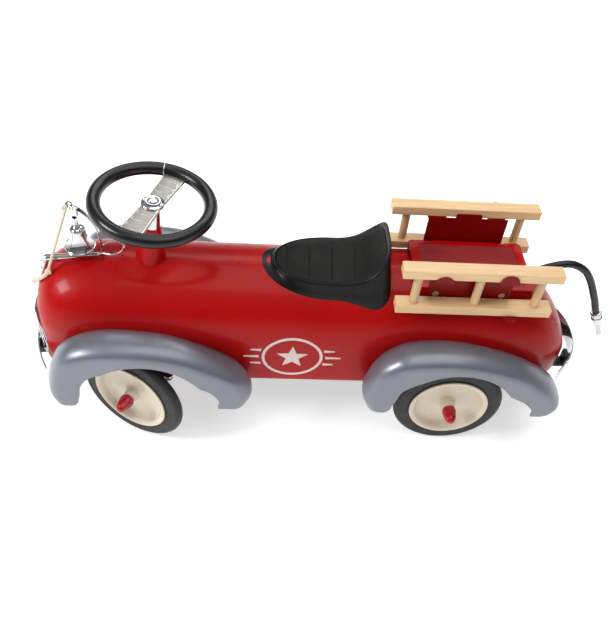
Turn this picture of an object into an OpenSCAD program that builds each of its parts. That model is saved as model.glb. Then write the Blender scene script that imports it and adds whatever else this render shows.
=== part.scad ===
// Ride-on toy fire engine: pressed steel body, four wheels steered by a column,
// two lift-off wooden ladders, a lidded hose box, a hose with a nozzle and a bell.
// +X is the nose, +Y the left side, +Z up. The ground is Z = 0.

/* [Wheels] */
// Radius of a tyre
wheel_r = 80; // [78:1:81]
// Width of a tyre
tyre_w = 16; // [14:1:18]
// Distance between the front and the rear wheel centres
wheelbase = 437; // [430:1:445]
// Half the distance between the outer faces of the left and right tyres
track_half = 121; // [120:1:122]
// Diameter of the axles
axle_d = 10; // [8:1:11]

/* [Body] */
// Half the width of the body
body_half_w = 85; // [83:1:86]
// Height of the hood above the ground
hood_top = 248; // [246:1:250]
// Height of the body's lower edge above the ground
floor_z = 88; // [87:0.5:90]
// Thickness of the body's sheet
sheet = 2; // [1.5:0.5:2.5]
// Half the width over the fenders
fender_half_w = 137; // [136:1:139]

/* [Steering] */
// Turn of the wheels to the right, as the toy stands
steer_now = 27; // [0:1:28]
// Lean of the steering column towards the rider
column_lean = 5; // [3:0.5:6]
// Radius of the steering wheel, to the middle of its rim
steering_r = 74.5; // [70:0.5:80]
// Thickness of the steering wheel's rim
steering_rim_d = 18; // [14:1:20]
// Length of the steering arms
arm_len = 32; // [28:1:34]

/* [Ladders] */
// Length of a ladder
ladder_len = 216; // [200:1:220]
// Height from the top of the lower rail to the top of the upper one
ladder_drop = 63.5; // [62:0.5:65]
// Width of a rail
rail_w = 21; // [18:1:21]
// Height of a rail
rail_h = 14.5; // [13:0.5:15]

/* [Equipment] */
// Diameter of the hose
hose_d = 11; // [9:0.5:12]
// Diameter of the bell's mouth
bell_d = 42; // [36:1:42]
// Length of the hose box
box_len = 160; // [156:1:164]

/* [Hidden] */
$fn = 64;

red = "firebrick";
steel_black = "dimgray";
chrome = "silver";
grey_blue = "lightslategray";
cream = "antiquewhite";
rubber = "darkslategray";
beech = "burlywood";

// Fits: a shaft's radial clearance in its hole, and the gap between parts that pass each other
run = 0.05;
gap = 0.4;

front_x = 239;
rear_x = front_x - wheelbase;
kingpin_y = 71;
axle_r = axle_d / 2;

// Body: the nose starts to close at nose_0 and ends at nose_1; the tail likewise
nose_0 = 200;
nose_1 = 396;
tail_0 = -118;
tail_1 = -388;
nose_mid_z = 150;
tail_mid_z = 105;
side_z = hood_top - 84;
arch_r = 96;

// Seat
seat_x = -18;
seat_front = 87;
seat_rear = 72;
seat_z = 250;
seat_rise = 54;
seat_crown = 10;
seat_bolt_x = [-50, 20];

// Hose box, between the ladders
box_x = -212;
box_half_w = 51;
box_top = 248;
box_floor = 205;
box_wall = 1.6;
lid_t = 4.5;
lid_over = 3;
hinge_y = -46;
hinge_z = box_top + gap + lid_t / 2;
hinge_r = 1.5;

// Ladders, brackets
ladder_x = -207.4;
ladder_y = 76.6;
ladder_top = 306.4;
bracket_x = -201;
bracket_half = 58;
bracket_t = 1.6;

// Steering
hub_x = 225.9;
hub_z = 338.8;
shaft_r = 8;
foot_z = 96;

// Bell
bell_x = 328;
bell_mouth_z = 260;
bell_pivot_z = 309;

// The hose leaves its spigot on the box's rear wall, rises a little and droops to its nozzle
hose_route = [
    [-297, 0, 239], [-306, 0, 243], [-315, 0, 248], [-325, 0, 253], [-335, 0, 257], [-345, 0, 260],
    [-355, 0, 261], [-365, 0, 259], [-375, 0, 254], [-384, 0, 247], [-392, 0, 237], [-399, 0, 226],
    [-406, 0, 213], [-412, 0, 201], [-418, 0, 189], [-423, 0, 177], [-428, 0, 166]
];
// The rope runs from the hanger's eye straight down to a knot on the hood; its whipped tail lies
// over the nose
rope_route = [
    [337, 7, 327], [340.9, 8.7, 316], [344.8, 10.4, 305], [348.7, 12.1, 294], [352.6, 13.8, 283],
    [356.5, 15.5, 272], [360.4, 17.2, 261], [364.3, 18.9, 250], [368.2, 20.6, 239], [370.2, 22.6, 232]
];
rope_tail = [
    [370.2, 22.6, 232], [373.8, 23.9, 226.8], [379, 23.4, 221.8], [385.7, 20.4, 214.6], [391.2, 14.8, 207],
    [395, 9.6, 201.4]
];

// ---------- Curves and lofts ----------

function mix(a, b, t) = a + (b - a) * t;
function unit(v) = v / norm(v);
function catmull(p, i, t) =
    let (a = p[max(i - 1, 0)], b = p[i], c = p[i + 1], d = p[min(i + 2, len(p) - 1)])
    0.5 * (2 * b + (c - a) * t + (2 * a - 5 * b + 4 * c - d) * t * t
           + (3 * b - a - 3 * c + d) * t * t * t);
function smooth(p, n) =
    [for (i = [0:len(p) - 2], k = [0:n - 1]) catmull(p, i, k / n), p[len(p) - 1]];

// A solid through closed rings of equal length, with flat convex ends
module loft(rings, flip = false) {
    m = len(rings);
    n = len(rings[0]);
    sides = [for (i = [0:m - 2], j = [0:n - 1])
        let (a = i * n + j, b = i * n + (j + 1) % n, c = a + n, d = b + n)
        each [[a, b, d], [a, d, c]]];
    ends = [for (j = [1:n - 2])
        each [[0, j + 1, j], [(m - 1) * n, (m - 1) * n + j, (m - 1) * n + j + 1]]];
    all = concat(sides, ends);
    polyhedron(points = [for (r = rings) each r],
               faces = flip ? [for (f = all) [f[2], f[1], f[0]]] : all, convexity = 8);
}

// A sheet between two grids of equal size: the outer skin and the inner one
module sheet_solid(outer, inner, flip = false) {
    m = len(outer);
    n = len(outer[0]);
    k = m * n;
    skins = [for (i = [0:m - 2], j = [0:n - 2])
        let (a = i * n + j, b = a + 1, c = a + n, d = c + 1)
        each [[a, b, d], [a, d, c], [k + a, k + d, k + b], [k + a, k + c, k + d]]];
    long_edges = [for (i = [0:m - 2])
        let (a = i * n, c = a + n, b = a + n - 1, d = b + n)
        each [[a, c, k + c], [a, k + c, k + a], [b, k + d, d], [b, k + b, k + d]]];
    short_edges = [for (j = [0:n - 2])
        let (a = j, c = (m - 1) * n + j)
        each [[a, k + a + 1, a + 1], [a, k + a, k + a + 1], [c, c + 1, k + c + 1], [c, k + c + 1, k + c]]];
    all = concat(skins, long_edges, short_edges);
    polyhedron(points = concat([for (r = outer) each r], [for (r = inner) each r]),
               faces = flip ? [for (f = all) [f[2], f[1], f[0]]] : all, convexity = 8);
}

// A round tube along points that lie close to one plane, seen from side; r is one radius, or one
// for each point
function ring_at(p, t, r, n, side) =
    let (u = unit(cross(t, side)), v = cross(t, u))
    [for (k = [0:n - 1]) p + r * (cos(360 * k / n) * u + sin(360 * k / n) * v)];
function tube_rings(p, r, n, side) =
    [for (i = [0:len(p) - 1])
        ring_at(p[i], unit(p[min(i + 1, len(p) - 1)] - p[max(i - 1, 0)]), is_list(r) ? r[i] : r, n, side)];

// ---------- Body surface ----------

// How far the section has closed at x, as a part of its full size
function nose_g(x) = x <= nose_0 ? 1 : pow(1 - pow(min((x - nose_0) / (nose_1 - nose_0), 1), 5), 1 / 3);
function tail_t(x) = x >= tail_0 ? 0 : min((tail_0 - x) / (tail_0 - tail_1), 1);
function half_w(x) = body_half_w * (x > 0 ? nose_g(x) : pow(1 - pow(tail_t(x), 6), 1 / 2));
function close_z(x) = x > 0 ? nose_g(x) : pow(1 - pow(tail_t(x), 4), 2 / 3);
function mid_z(x) = x > 0 ? nose_mid_z : tail_mid_z;
function top_z(x) = mix(mid_z(x), hood_top, close_z(x));
function shoulder_z(x) = mix(mid_z(x), side_z, close_z(x));
function body_y(x, z) =
    z <= shoulder_z(x) ? half_w(x)
    : half_w(x) * sqrt(max(0, 1 - pow((z - shoulder_z(x)) / (top_z(x) - shoulder_z(x)), 2)));
function body_z(x, y) =
    mix(shoulder_z(x), top_z(x), sqrt(max(0, 1 - pow(y / half_w(x), 2))));

function body_ring(x, w, zs, zt, zb, tuck) = [
    [x, w - tuck, zb], [x, w, mix(zb, zs, 0.35)],
    for (a = [0:10:180]) [x, w * cos(a), zs + (zt - zs) * sin(a)],
    [x, -w, mix(zb, zs, 0.35)], [x, tuck - w, zb]
];

nose_steps = [for (a = [86:-9:32]) nose_0 + (nose_1 - nose_0) * pow(sin(a), 2 / 5)];
tail_steps = [for (a = [14:9:86]) tail_0 - (tail_0 - tail_1) * pow(sin(a), 2 / 6)];
body_steps = concat(nose_steps, [nose_0, 40, tail_0], tail_steps);

// The body's outer solid, shrunk by t all round and open down to zb
module body_solid(t, zb) {
    loft([for (x = body_steps)
        body_ring(x * (1 - t / nose_1), half_w(x) - t, shoulder_z(x), top_z(x) - t, zb, 2)]);
}

module about_column() {
    translate([hub_x, 0, hub_z]) rotate([0, -column_lean, 0]) children();
}
function column_x(z) = hub_x + (hub_z - z) * tan(column_lean);

module body_shell() {
    color(red) difference() {
        body_solid(0, floor_z);
        body_solid(sheet, floor_z - 10);
        about_column() translate([0, 0, -140]) cylinder(r = 18.2, h = 80);
        box_block(gap, box_floor - 10, 60);
        for (x = seat_bolt_x) translate([x, 0, hood_top - 20]) cylinder(r = 3.2, h = 30);
        for (s = [-1, 1]) {
            translate([front_x, s * 75, wheel_r]) rotate([90, 0, 0])
                cylinder(r = arch_r, h = 60, center = true);
            translate([rear_x, s * 98, wheel_r]) rotate([90, 0, 0])
                cylinder(r = arch_r - 6, h = 40, center = true);
        }
    }
}

// The pan's flat middle is pressed down a little, and carries the toy on a stand
module floor_pan() {
    waist = 42;
    outline = [
        [-340, 66], [rear_x - 100, 76], [rear_x - 94, 74], [rear_x + 94, 74], [rear_x + 100, 80],
        [front_x - 114, 80], [front_x - 99, waist], [front_x + 97, waist], [front_x + 101, 66],
        [352, 58], [366, 40]
    ];
    color(steel_black) difference() {
        union() {
            translate([0, 0, floor_z]) linear_extrude(sheet)
                polygon(concat(outline, [for (i = [len(outline) - 1:-1:0]) [outline[i][0], -outline[i][1]]]));
            translate([-60, -60, floor_z - sheet]) cube([160, 120, sheet]);
        }
        translate([-60 + sheet, -60 + sheet, floor_z]) cube([160 - 2 * sheet, 120 - 2 * sheet, sheet + 1]);
    }
}

// ---------- Front and rear ----------

function grille_ring(z, t) =
    let (w = 56 * sqrt(1 - pow((z - 128) / 62, 2)) + 3)
    [for (k = [-6:6]) let (y = w * k / 6, d = 3.4 * (1 - pow(k / 6, 2)) + 1.2)
        [nose_x(abs(y)) + (t == 0 ? d : 0.3), y, z]];
// Where the nose's flat sides reach the half-width y
function nose_x(y) = min(393.2, nose_0 + (nose_1 - nose_0) * pow(1 - pow(y / body_half_w, 3), 1 / 5));

module grille() {
    zs = [for (k = [0:10]) 101 + 70 * k / 10];
    color(chrome) sheet_solid([for (z = zs) grille_ring(z, 0)], [for (z = zs) grille_ring(z, 1)]);
}

// Plan curve of a bumper: its outer face at y
function bumper_x(y, centre, bend, p) = centre - bend * pow(abs(y) / 88, p);

module bumper(centre, bend, p, half, sgn, z0, flip) {
    ys = [for (k = [-10:10]) half * k / 10];
    rings = [for (y = ys)
        let (x = bumper_x(y, centre, bend, p), e = pow(abs(y) / half, 6), h = 13 - 4 * e)
        [for (a = [-90:30:90]) [sgn * (x - 5 + 5 * cos(a)), y, z0 + h * sin(a)]]];
    loft(rings, flip);
}

front_bumper_z = 105;
rear_bumper_z = 112;
module front_bumper() color(chrome) bumper(406, 21, 2.3, 98, 1, front_bumper_z, true);
module rear_bumper() color(chrome) bumper(406, 47, 2.3, 82, -1, rear_bumper_z, false);

// A band wrapped round the rear bumper on each side
module bumper_overriders() {
    angles = [-90:30:90];
    color(chrome) for (s = [-1, 1]) {
        ys = [for (y = [-5:2.5:5]) s * 61 - y];
        outer = [for (y = ys) let (x = bumper_x(y, 406, 47, 2.3))
            [for (a = angles) [5 - x - 6.6 * cos(a), y, rear_bumper_z + 14.8 * sin(a)]]];
        inner = [for (y = ys) let (x = bumper_x(y, 406, 47, 2.3))
            [for (a = angles) [5 - x - 5.1 * cos(a), y, rear_bumper_z + 13.1 * sin(a)]]];
        sheet_solid(outer, inner);
    }
}

module bumper_brackets() {
    color(steel_black) for (s = [-1, 1]) translate([0, s * 32 - 9, floor_z - 4]) {
        translate([346, 0, 0]) cube([53.5, 18, 4]);
        translate([395, 0, 0]) cube([4.5, 18, 13]);
        translate([-396, 0, 0]) cube([76, 18, 4]);
        translate([-396, 0, 0]) cube([5.5, 18, 22]);
    }
}

// Crown of a fender: how far ahead of its wheel, and how high
front_crown = [
    [126, 84], [132, 106], [124, 146], [107, 173], [80, 189], [42, 196], [-11, 194],
    [-50, 186], [-89, 168], [-129, 142], [-145, 120], [-149, 102], [-142, 84]
];
rear_crown = [
    [123, 84], [130, 105], [127, 128], [118, 155], [100, 175], [76, 189], [24, 195],
    [-28, 189], [-87, 169], [-136, 136], [-157, 113], [-164, 97], [-157, 84]
];

// One fender: at each crown point a section runs from the body over the round shoulder
// and down the flat outer face to the wheel's arch
function fender_section(c, x0, t) =
    let (v = c - [0, 78], far = norm(v), u = v / far,
         tip = max(0, (100 - c[1]) / 16),
         low = max(91 + 6 * pow(max(0, -u[0]), 12), far - 46) + 8 * tip * tip,
         depths = [12, 2, 0, 2.5, 8, 15, 21],
         ys = [0, 15, 32, 43, 50.5, 53.6, 54])
    concat(
        [for (k = [0:6])
            let (d = far - depths[k] - t, p = [x0 + u[0] * d, 78 + u[1] * d], y_in = body_y(p[0], p[1]) + 0.5,
                 y = k == 0 ? y_in : mix(y_in, fender_half_w, ys[k] / 54) - (k > 3 ? t : 0))
            [p[0], y, max(p[1], 84)]],
        [let (p = [x0 + u[0] * low, 78 + u[1] * low]) [p[0], fender_half_w - t, max(p[1], 84)]]
    );

module fender(crown, x0, side) {
    path = smooth(crown, 2);
    outer = [for (c = path) fender_section(c, x0, 0)];
    inner = [for (c = path) fender_section(c, x0, sheet)];
    color(grey_blue) mirror([0, side > 0 ? 0 : 1, 0]) sheet_solid(outer, inner, true);
}

module front_left_fender() fender(front_crown, front_x, 1);
module front_right_fender() fender(front_crown, front_x, -1);
module rear_left_fender() fender(rear_crown, rear_x, 1);
module rear_right_fender() fender(rear_crown, rear_x, -1);

// A thin badge on each side, which follows the side's curve: a ring round a square
module side_emblems() {
    color("white") intersection() {
        translate([34.5, 0, 140.3]) rotate([90, 0, 0]) linear_extrude(2 * body_half_w + 10, center = true) {
            difference() {
                circle(r = 40.5);
                circle(r = 36);
            }
            circle(r = 17, $fn = 4);
        }
        difference() {
            body_solid(-0.7, floor_z);
            body_solid(-0.1, floor_z - 10);
        }
    }
}

// ---------- Seat ----------

// Plan of the seat's rim, grown by g; a runs from 0 at the front to 180 at the rear
function seat_x_at(a, g) =
    let (c = cos(a), front = c > 0) seat_x + (front ? seat_front + g : -(seat_rear + g * 0.6))
        * (front ? pow(c, 2 / 2.2) : pow(-c, 2 / 4));
function seat_y_at(a, g) =
    let (c = cos(a), e = c > 0 ? 2 / 2.2 : 2 / 4, w = 50 + 4 * min(1, max(0, -c) * 2) + g * 0.8)
    w * pow(abs(sin(a)), e) * (sin(a) < 0 ? -1 : 1);
function rim_rise(x) = seat_rise * pow(min(1, max(0, (seat_x - x) / seat_rear)), 3);
// The skirt's spread beyond the rim: most at the rear corners
function skirt(a, g) = g * (0.7 + 0.6 * pow(max(0, cos(a)), 2) + 2.6 * max(0, -cos(a)) * abs(sin(a)));
function seat_ring(f, g, kind) = [for (a = [0:12:348])
    let (e = skirt(a, g), x = seat_x + (seat_x_at(a, e) - seat_x) * f, y = seat_y_at(a, e) * f,
         rim = seat_z + rim_rise(seat_x_at(a, 0)), low = body_z(x, y) + 1.2)
    [x, y, kind == 0 ? low + 4 * f * (1 - f) : kind == 1 ? mix(low, rim, 0.55)
        : seat_z + seat_crown * (1 - pow(f, 2.5)) + rim_rise(x)]];

module seat() {
    under = [for (f = [0.12, 0.5, 0.78, 1]) seat_ring(f, 10, 0)];
    top = [for (f = [1, 0.9, 0.6, 0.12]) seat_ring(f, 0, 2)];
    color("black") loft(concat(under, [seat_ring(1, 4, 1)], top), true);
}

module seat_bolts() {
    color(chrome) for (x = seat_bolt_x) translate([x, 0, hood_top - sheet]) {
        translate([0, 0, -4.5]) cylinder(r = 6, h = 4, $fn = 6);
        translate([0, 0, -0.5]) cylinder(r = 3, h = 10.5);
    }
}

// A thin rod between the seat's back and the hose box
module seat_tie_rod() {
    color(chrome) translate([box_x + box_len / 2 - 1, -38, 244]) rotate([0, 90, 0])
        cylinder(r = 1.75, h = 38);
}

// ---------- Steering ----------

module column_housing() {
    color(red) about_column() rotate_extrude()
        polygon([[shaft_r + run, -50], [shaft_r + run, -37], [11.4, -37], [12.4, -38.5],
                 [21.2, -96], [21.2, -100], [19.2, -100], [19.2, -96], [11, -50]]);
}

module column_bracket() {
    z = foot_z + 22;
    color(steel_black) difference() {
        union() {
            translate([column_x(z) - 16, -42, z]) cube([32, 84, 3]);
            for (s = [-1, 1]) translate([column_x(z) - 16, s * 40.5 - 1.5, floor_z + sheet])
                cube([32, 3, z - floor_z - sheet]);
        }
        about_column() translate([0, 0, -260]) cylinder(r = shaft_r + 0.3, h = 80);
    }
}

module steering_column() {
    color(chrome) {
        about_column() translate([0, 0, foot_z - hub_z + 3]) cylinder(r = shaft_r, h = hub_z - foot_z - 7);
        about_column() translate([0, 0, -36.7]) cylinder(r1 = 11.5, r2 = 10, h = 31);
        // Crank at the foot: it points the same way as the steering arms
        about_column() translate([0, 0, foot_z - hub_z + 3]) rotate([0, 0, -steer_now]) {
            translate([-arm_len, -7, 0]) cube([arm_len, 14, 5]);
            translate([-arm_len, 0, 0]) cylinder(r = 7, h = 5);
            translate([-arm_len, 0, -6]) cylinder(r = 3, h = 7);
        }
    }
}

module steering_wheel_rim() {
    color("black") about_column() rotate_extrude()
        translate([steering_r, 0]) circle(d = steering_rim_d);
}

module steering_spoke() {
    reach = steering_r - steering_rim_d / 2 + 2.5;
    color(chrome) about_column() rotate([0, 0, 90 - 20]) difference() {
        translate([0, 0, -4.4]) linear_extrude(3)
            polygon([[-reach, -16], [0, -13], [reach, -16], [reach, 16], [0, 13], [-reach, 16]]);
        translate([0, 0, -6]) cylinder(r = 5 + run, h = 10);
        rotate_extrude() translate([steering_r, 0]) circle(d = steering_rim_d + 0.02);
    }
}

module steering_hub_nut() {
    color(chrome) about_column() {
        translate([0, 0, -4.4]) cylinder(r = 5, h = 4);
        translate([0, 0, -1.4]) cylinder(r = 15, h = 3);
        translate([0, 0, 1.6]) cylinder(r1 = 11, r2 = 8, h = 3);
    }
}

module front_axle_beam() {
    color(steel_black) {
        translate([front_x - 8, -52, floor_z - 16]) cube([16, 104, 16]);
        for (s = [-1, 1]) difference() {
            translate([front_x - 10, s > 0 ? 52 : -82, floor_z - 25]) cube([20, 30, 36]);
            translate([front_x - 12, s > 0 ? 58 : -83, floor_z - 19]) cube([24, 25, 24]);
            translate([front_x, s * kingpin_y, floor_z - 30]) cylinder(r = 4, h = 60);
        }
    }
}

module kingpins() {
    color(chrome) for (s = [-1, 1]) translate([front_x, s * kingpin_y, floor_z - 25]) {
        cylinder(r = 4, h = 36);
        translate([0, 0, -3]) cylinder(r = 7, h = 3);
        translate([0, 0, 36]) cylinder(r = 7, h = 2.5);
    }
}

// Everything that steers with one front wheel is drawn about its kingpin
module at_kingpin(side) translate([front_x, side * kingpin_y, 0]) rotate([0, 0, -steer_now]) children();

module knuckle(side) {
    color(steel_black) at_kingpin(side) {
        difference() {
            union() {
                translate([0, 0, floor_z - 18.6]) cylinder(r = 8.5, h = 23.2);
                translate([-arm_len, -6, floor_z - 0.6]) cube([arm_len, 12, 5]);
                translate([-arm_len, 0, floor_z - 0.6]) cylinder(r = 6, h = 5);
                translate([-arm_len, 0, floor_z]) cylinder(r = 3, h = 10);
                translate([0, 0, wheel_r]) rotate([-side * 90, 0, 0])
                    cylinder(r = axle_r, h = track_half + 6 - kingpin_y);
            }
            translate([0, 0, floor_z - 25]) cylinder(r = 4 + run, h = 40);
        }
    }
}
module left_knuckle() knuckle(1);
module right_knuckle() knuckle(-1);

arm_dx = -arm_len * cos(steer_now);
arm_dy = arm_len * sin(steer_now);
crank_z = foot_z - 1;
module tie_rod() {
    z = floor_z + 4.7;
    pin_x = column_x(crank_z) + arm_dx;
    color(chrome) difference() {
        union() {
            translate([front_x + arm_dx - 5, arm_dy - kingpin_y, z]) cube([10, 2 * kingpin_y, 3]);
            for (s = [-1, 1]) translate([front_x + arm_dx, arm_dy + s * kingpin_y, z]) cylinder(r = 7, h = 3);
            translate([front_x + arm_dx - 5, arm_dy - 10, z]) cube([pin_x - front_x - arm_dx + 5, 20, 3]);
            translate([pin_x, arm_dy, z]) cylinder(r = 10, h = 3);
        }
        translate([front_x + arm_dx, arm_dy + kingpin_y, z - 1]) cylinder(r = 3 + run, h = 8);
        translate([front_x + arm_dx, arm_dy - kingpin_y, z - 1]) cylinder(r = 3.5, h = 8);
        translate([pin_x, arm_dy, z - 5]) cylinder(r = 4.2, h = 15);
    }
}

// ---------- Wheels ----------

// Sections of a wheel about its axle: radius, then distance outboard of the tyre's middle
module tyre_section() {
    h = tyre_w / 2;
    w = wheel_r;
    polygon([[52.5, -h], [w - 8, -h], [w - 4, -h + 1], [w - 1.5, -h + 3], [w, -h + 6],
             [w, h - 6], [w - 1.5, h - 3], [w - 4, h - 1], [w - 8, h], [52.5, h]]);
}
module disc_section() {
    h = tyre_w / 2;
    polygon([[axle_r + run, -14], [11, -14], [11, h - 12], [44, h - 12], [48, h - 14], [50, -h], [52.5, -h],
             [52.5, h], [57.8, h], [57.8, h + 2.2], [56.6, h + 3], [54, h + 3], [51, h + 1], [47.5, h - 6],
             [43, h - 9], [14, h - 9], [11, h - 6], [9, h + 4], [axle_r + run, h + 4]]);
}
module cap_section() {
    h = tyre_w / 2;
    polygon([[0, h + 7], [axle_r + 0.4, h + 7], [axle_r + 0.4, h + 4.3], [9, h + 4.3], [10.4, h + 6],
             [10.4, h + 10], [9.2, h + 14], [8, h + 21], [6.6, h + 26], [4, h + 28.4], [0, h + 29]]);
}

// Puts a section on the left or right wheel at x, at the tyre's middle plane
module on_axle(side, mid) {
    translate([0, side * mid, wheel_r]) rotate([-side * 90, 0, 0]) rotate_extrude() children();
}
rim_mid = track_half - tyre_w / 2;
module front_wheel(side) at_kingpin(side) on_axle(side, rim_mid - kingpin_y) children();
module rear_wheel(side) translate([rear_x, 0, 0]) on_axle(side, rim_mid) children();

module front_left_tyre() color(rubber) front_wheel(1) tyre_section();
module front_right_tyre() color(rubber) front_wheel(-1) tyre_section();
module rear_left_tyre() color(rubber) rear_wheel(1) tyre_section();
module rear_right_tyre() color(rubber) rear_wheel(-1) tyre_section();
module front_left_wheel_disc() color(cream) front_wheel(1) disc_section();
module front_right_wheel_disc() color(cream) front_wheel(-1) disc_section();
module rear_left_wheel_disc() color(cream) rear_wheel(1) disc_section();
module rear_right_wheel_disc() color(cream) rear_wheel(-1) disc_section();
module front_left_hub_cap() color(red) front_wheel(1) cap_section();
module front_right_hub_cap() color(red) front_wheel(-1) cap_section();
module rear_left_hub_cap() color(red) rear_wheel(1) cap_section();
module rear_right_hub_cap() color(red) rear_wheel(-1) cap_section();

rear_axle_half = rim_mid + tyre_w / 2 + 6;
module rear_axle() {
    color(chrome) translate([rear_x, 0, wheel_r]) rotate([90, 0, 0])
        cylinder(r = axle_r, h = 2 * rear_axle_half, center = true);
}

module rear_axle_saddles() {
    color(steel_black) for (s = [-1, 1]) difference() {
        translate([rear_x - 14, s * 55 - 10, wheel_r - 9]) cube([28, 20, floor_z - wheel_r + 9]);
        translate([rear_x, s * 55, wheel_r]) rotate([90, 0, 0]) cylinder(r = axle_r, h = 30, center = true);
    }
}

// ---------- Hose box, ladders and hose ----------

// The box's block, grown by g, from the height z0 up
module box_block(g, z0, h) {
    translate([box_x - box_len / 2 - g, -box_half_w - g, z0])
        cube([box_len + 2 * g, 2 * (box_half_w + g), h]);
}
lug_x = [box_x - 55, box_x + 55];

module hose_box() {
    t = box_wall;
    color(red) difference() {
        union() {
            difference() {
                box_block(0, box_floor, box_top - box_floor);
                box_block(-t, box_floor + t, 60);
            }
            // Hinge lugs inside the far wall
            for (x = lug_x) {
                translate([x - 5, hinge_y, hinge_z]) rotate([0, 90, 0]) cylinder(r = 2.8, h = 10);
                translate([x - 5, hinge_y - 2.8, box_top - 4]) cube([10, 5.6, hinge_z - box_top + 4]);
                translate([x - 5, -box_half_w + 1, box_top - 4]) cube([10, 5, 3.6]);
            }
        }
        // The end walls are notched where the lid's far edge swings down
        for (x = [-1, 1]) translate([box_x + x * box_len / 2 - 2, hinge_y - 3.4, box_top - 2])
            cube([4, 8, 3]);
        translate([box_x, hinge_y, hinge_z]) rotate([0, 90, 0]) cylinder(r = hinge_r, h = 200, center = true);
        translate([box_x - box_len / 2, 0, 237]) rotate([0, 90, 0]) cylinder(r = 7, h = 10, center = true);
    }
}

module lid_hinge_pin() {
    l = box_len + 2 * lid_over;
    color(chrome) translate([box_x, hinge_y, hinge_z]) rotate([0, 90, 0])
        cylinder(r = hinge_r, h = l, center = true);
}

module box_lid() {
    l = box_len + 2 * lid_over;
    w = 2 * box_half_w - 4;
    z = box_top + gap;
    color(red) difference() {
        translate([box_x - l / 2, -w / 2, z]) cube([l, w, lid_t]);
        for (k = [-2:2]) translate([box_x - l / 2 + 13, 16.5 * k - 7.9, z + lid_t - 0.8])
            cube([l - 26, 15.8, 3]);
        for (x = lug_x) translate([x - 5.4, -box_half_w, z - 1])
            cube([10.8, hinge_y + 3.6 + box_half_w, lid_t + 2]);
        translate([box_x, hinge_y, hinge_z]) rotate([0, 90, 0])
            cylinder(r = hinge_r + run, h = l + 2, center = true);
    }
}

// Each bracket: a plate on the box's side, bent out under both rails; a tab stands inside
// the top rail, and rounded hooks hold its outside
rail_in = ladder_y - rail_w;
bolt_dx = 46;
bolt_z = 247.2;
plate_y = rail_in - gap - bracket_t;
lip_y = ladder_y + gap;
module bracket_hook(x, z, r, rise) {
    t = bracket_t;
    translate([x - r, plate_y, z]) cube([2 * r, lip_y + t - plate_y, t]);
    intersection() {
        translate([x, lip_y + t, z + rise - r]) rotate([90, 0, 0]) cylinder(r = r, h = t);
        translate([x - 20, lip_y - 2, z]) cube([40, 8, 20]);
    }
}
module ladder_bracket() {
    t = bracket_t;
    top_z = ladder_top - rail_h - gap - t;
    low_z = ladder_top - ladder_drop - rail_h - gap - t;
    translate([-bracket_half, plate_y, low_z]) cube([2 * bracket_half, t, top_z - low_z + t]);
    translate([-19, plate_y, top_z]) cube([38, t, 5]);
    translate([-15, plate_y, top_z]) cube([30, t, 9]);
    for (dx = [-15, 15]) translate([dx, plate_y + t, top_z + 5]) rotate([90, 0, 0]) cylinder(r = 4, h = t);
    bracket_hook(45.5, top_z, 13.5, 9);
    bracket_hook(-41, top_z, 13, 15);
    translate([39, plate_y, low_z]) cube([18, lip_y - plate_y, t]);
    translate([-69, plate_y, low_z]) cube([22, lip_y - plate_y, t]);
    translate([-58, lip_y - 3, low_z]) cylinder(r = 11, h = t);
}

// The right bracket sits a little further back than the left one
module on_sides() for (s = [0, 1]) mirror([0, s, 0]) translate([bracket_x - 10 * s, 0, 0]) children();

module ladder_brackets() {
    color(red) on_sides() {
        difference() {
            ladder_bracket();
            for (dx = [-bolt_dx, bolt_dx]) translate([dx, plate_y - 1, bolt_z])
                rotate([-90, 0, 0]) cylinder(r = 4.5, h = 4);
        }
        for (dx = [-bolt_dx, bolt_dx]) translate([dx, box_half_w, bolt_z - 7])
            rotate([-90, 0, 0]) cylinder(r = 6, h = plate_y - box_half_w);
    }
}

module bracket_bolts() {
    color(chrome) on_sides() for (dx = [-bolt_dx, bolt_dx])
        translate([dx, plate_y + 0.2, bolt_z]) rotate([-90, 0, 0]) cylinder(r = 4.5, h = bracket_t);
}

// A ladder: two rails with a chamfered end, and three round rungs let into them
rung_dx = [-84, 0, 84];
rung_r = 6;
rung_sink = 8;
module rails(side) {
    color(beech) for (drop = [0, ladder_drop]) difference() {
        translate([ladder_x - ladder_len / 2, side > 0 ? rail_in : -ladder_y, ladder_top - drop - rail_h])
            cube([ladder_len, rail_w, rail_h]);
        rung_rods(side);
    }
}
module rung_rods(side) {
    for (dx = rung_dx)
        translate([ladder_x + dx, side * (ladder_y - rail_w / 2), ladder_top - ladder_drop - rung_sink])
            cylinder(r = rung_r, h = ladder_drop - rail_h + 2 * rung_sink);
}
module rungs(side) color(beech) rung_rods(side);
module left_ladder_rails() rails(1);
module left_ladder_rungs() rungs(1);
module right_ladder_rails() rails(-1);
module right_ladder_rungs() rungs(-1);

// A flange on the box's rear wall, flat where it passes the hood, with a spigot that leans up
module hose_socket() {
    color(steel_black) {
        translate([box_x - box_len / 2 + box_wall, 0, 237]) rotate([0, -90, 0]) {
            cylinder(r = 7, h = box_wall);
            translate([0, 0, box_wall]) intersection() {
                cylinder(r = 10, h = 3);
                translate([-5.4, -10, 0]) cube([16, 20, 3]);
            }
        }
        translate([-294, 0, 237.5]) rotate([0, -65, 0]) cylinder(r = 7, h = 8);
    }
}
module hose() color("black") loft(tube_rings(hose_route, hose_d / 2, 10, [0, 1, 0]));

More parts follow.
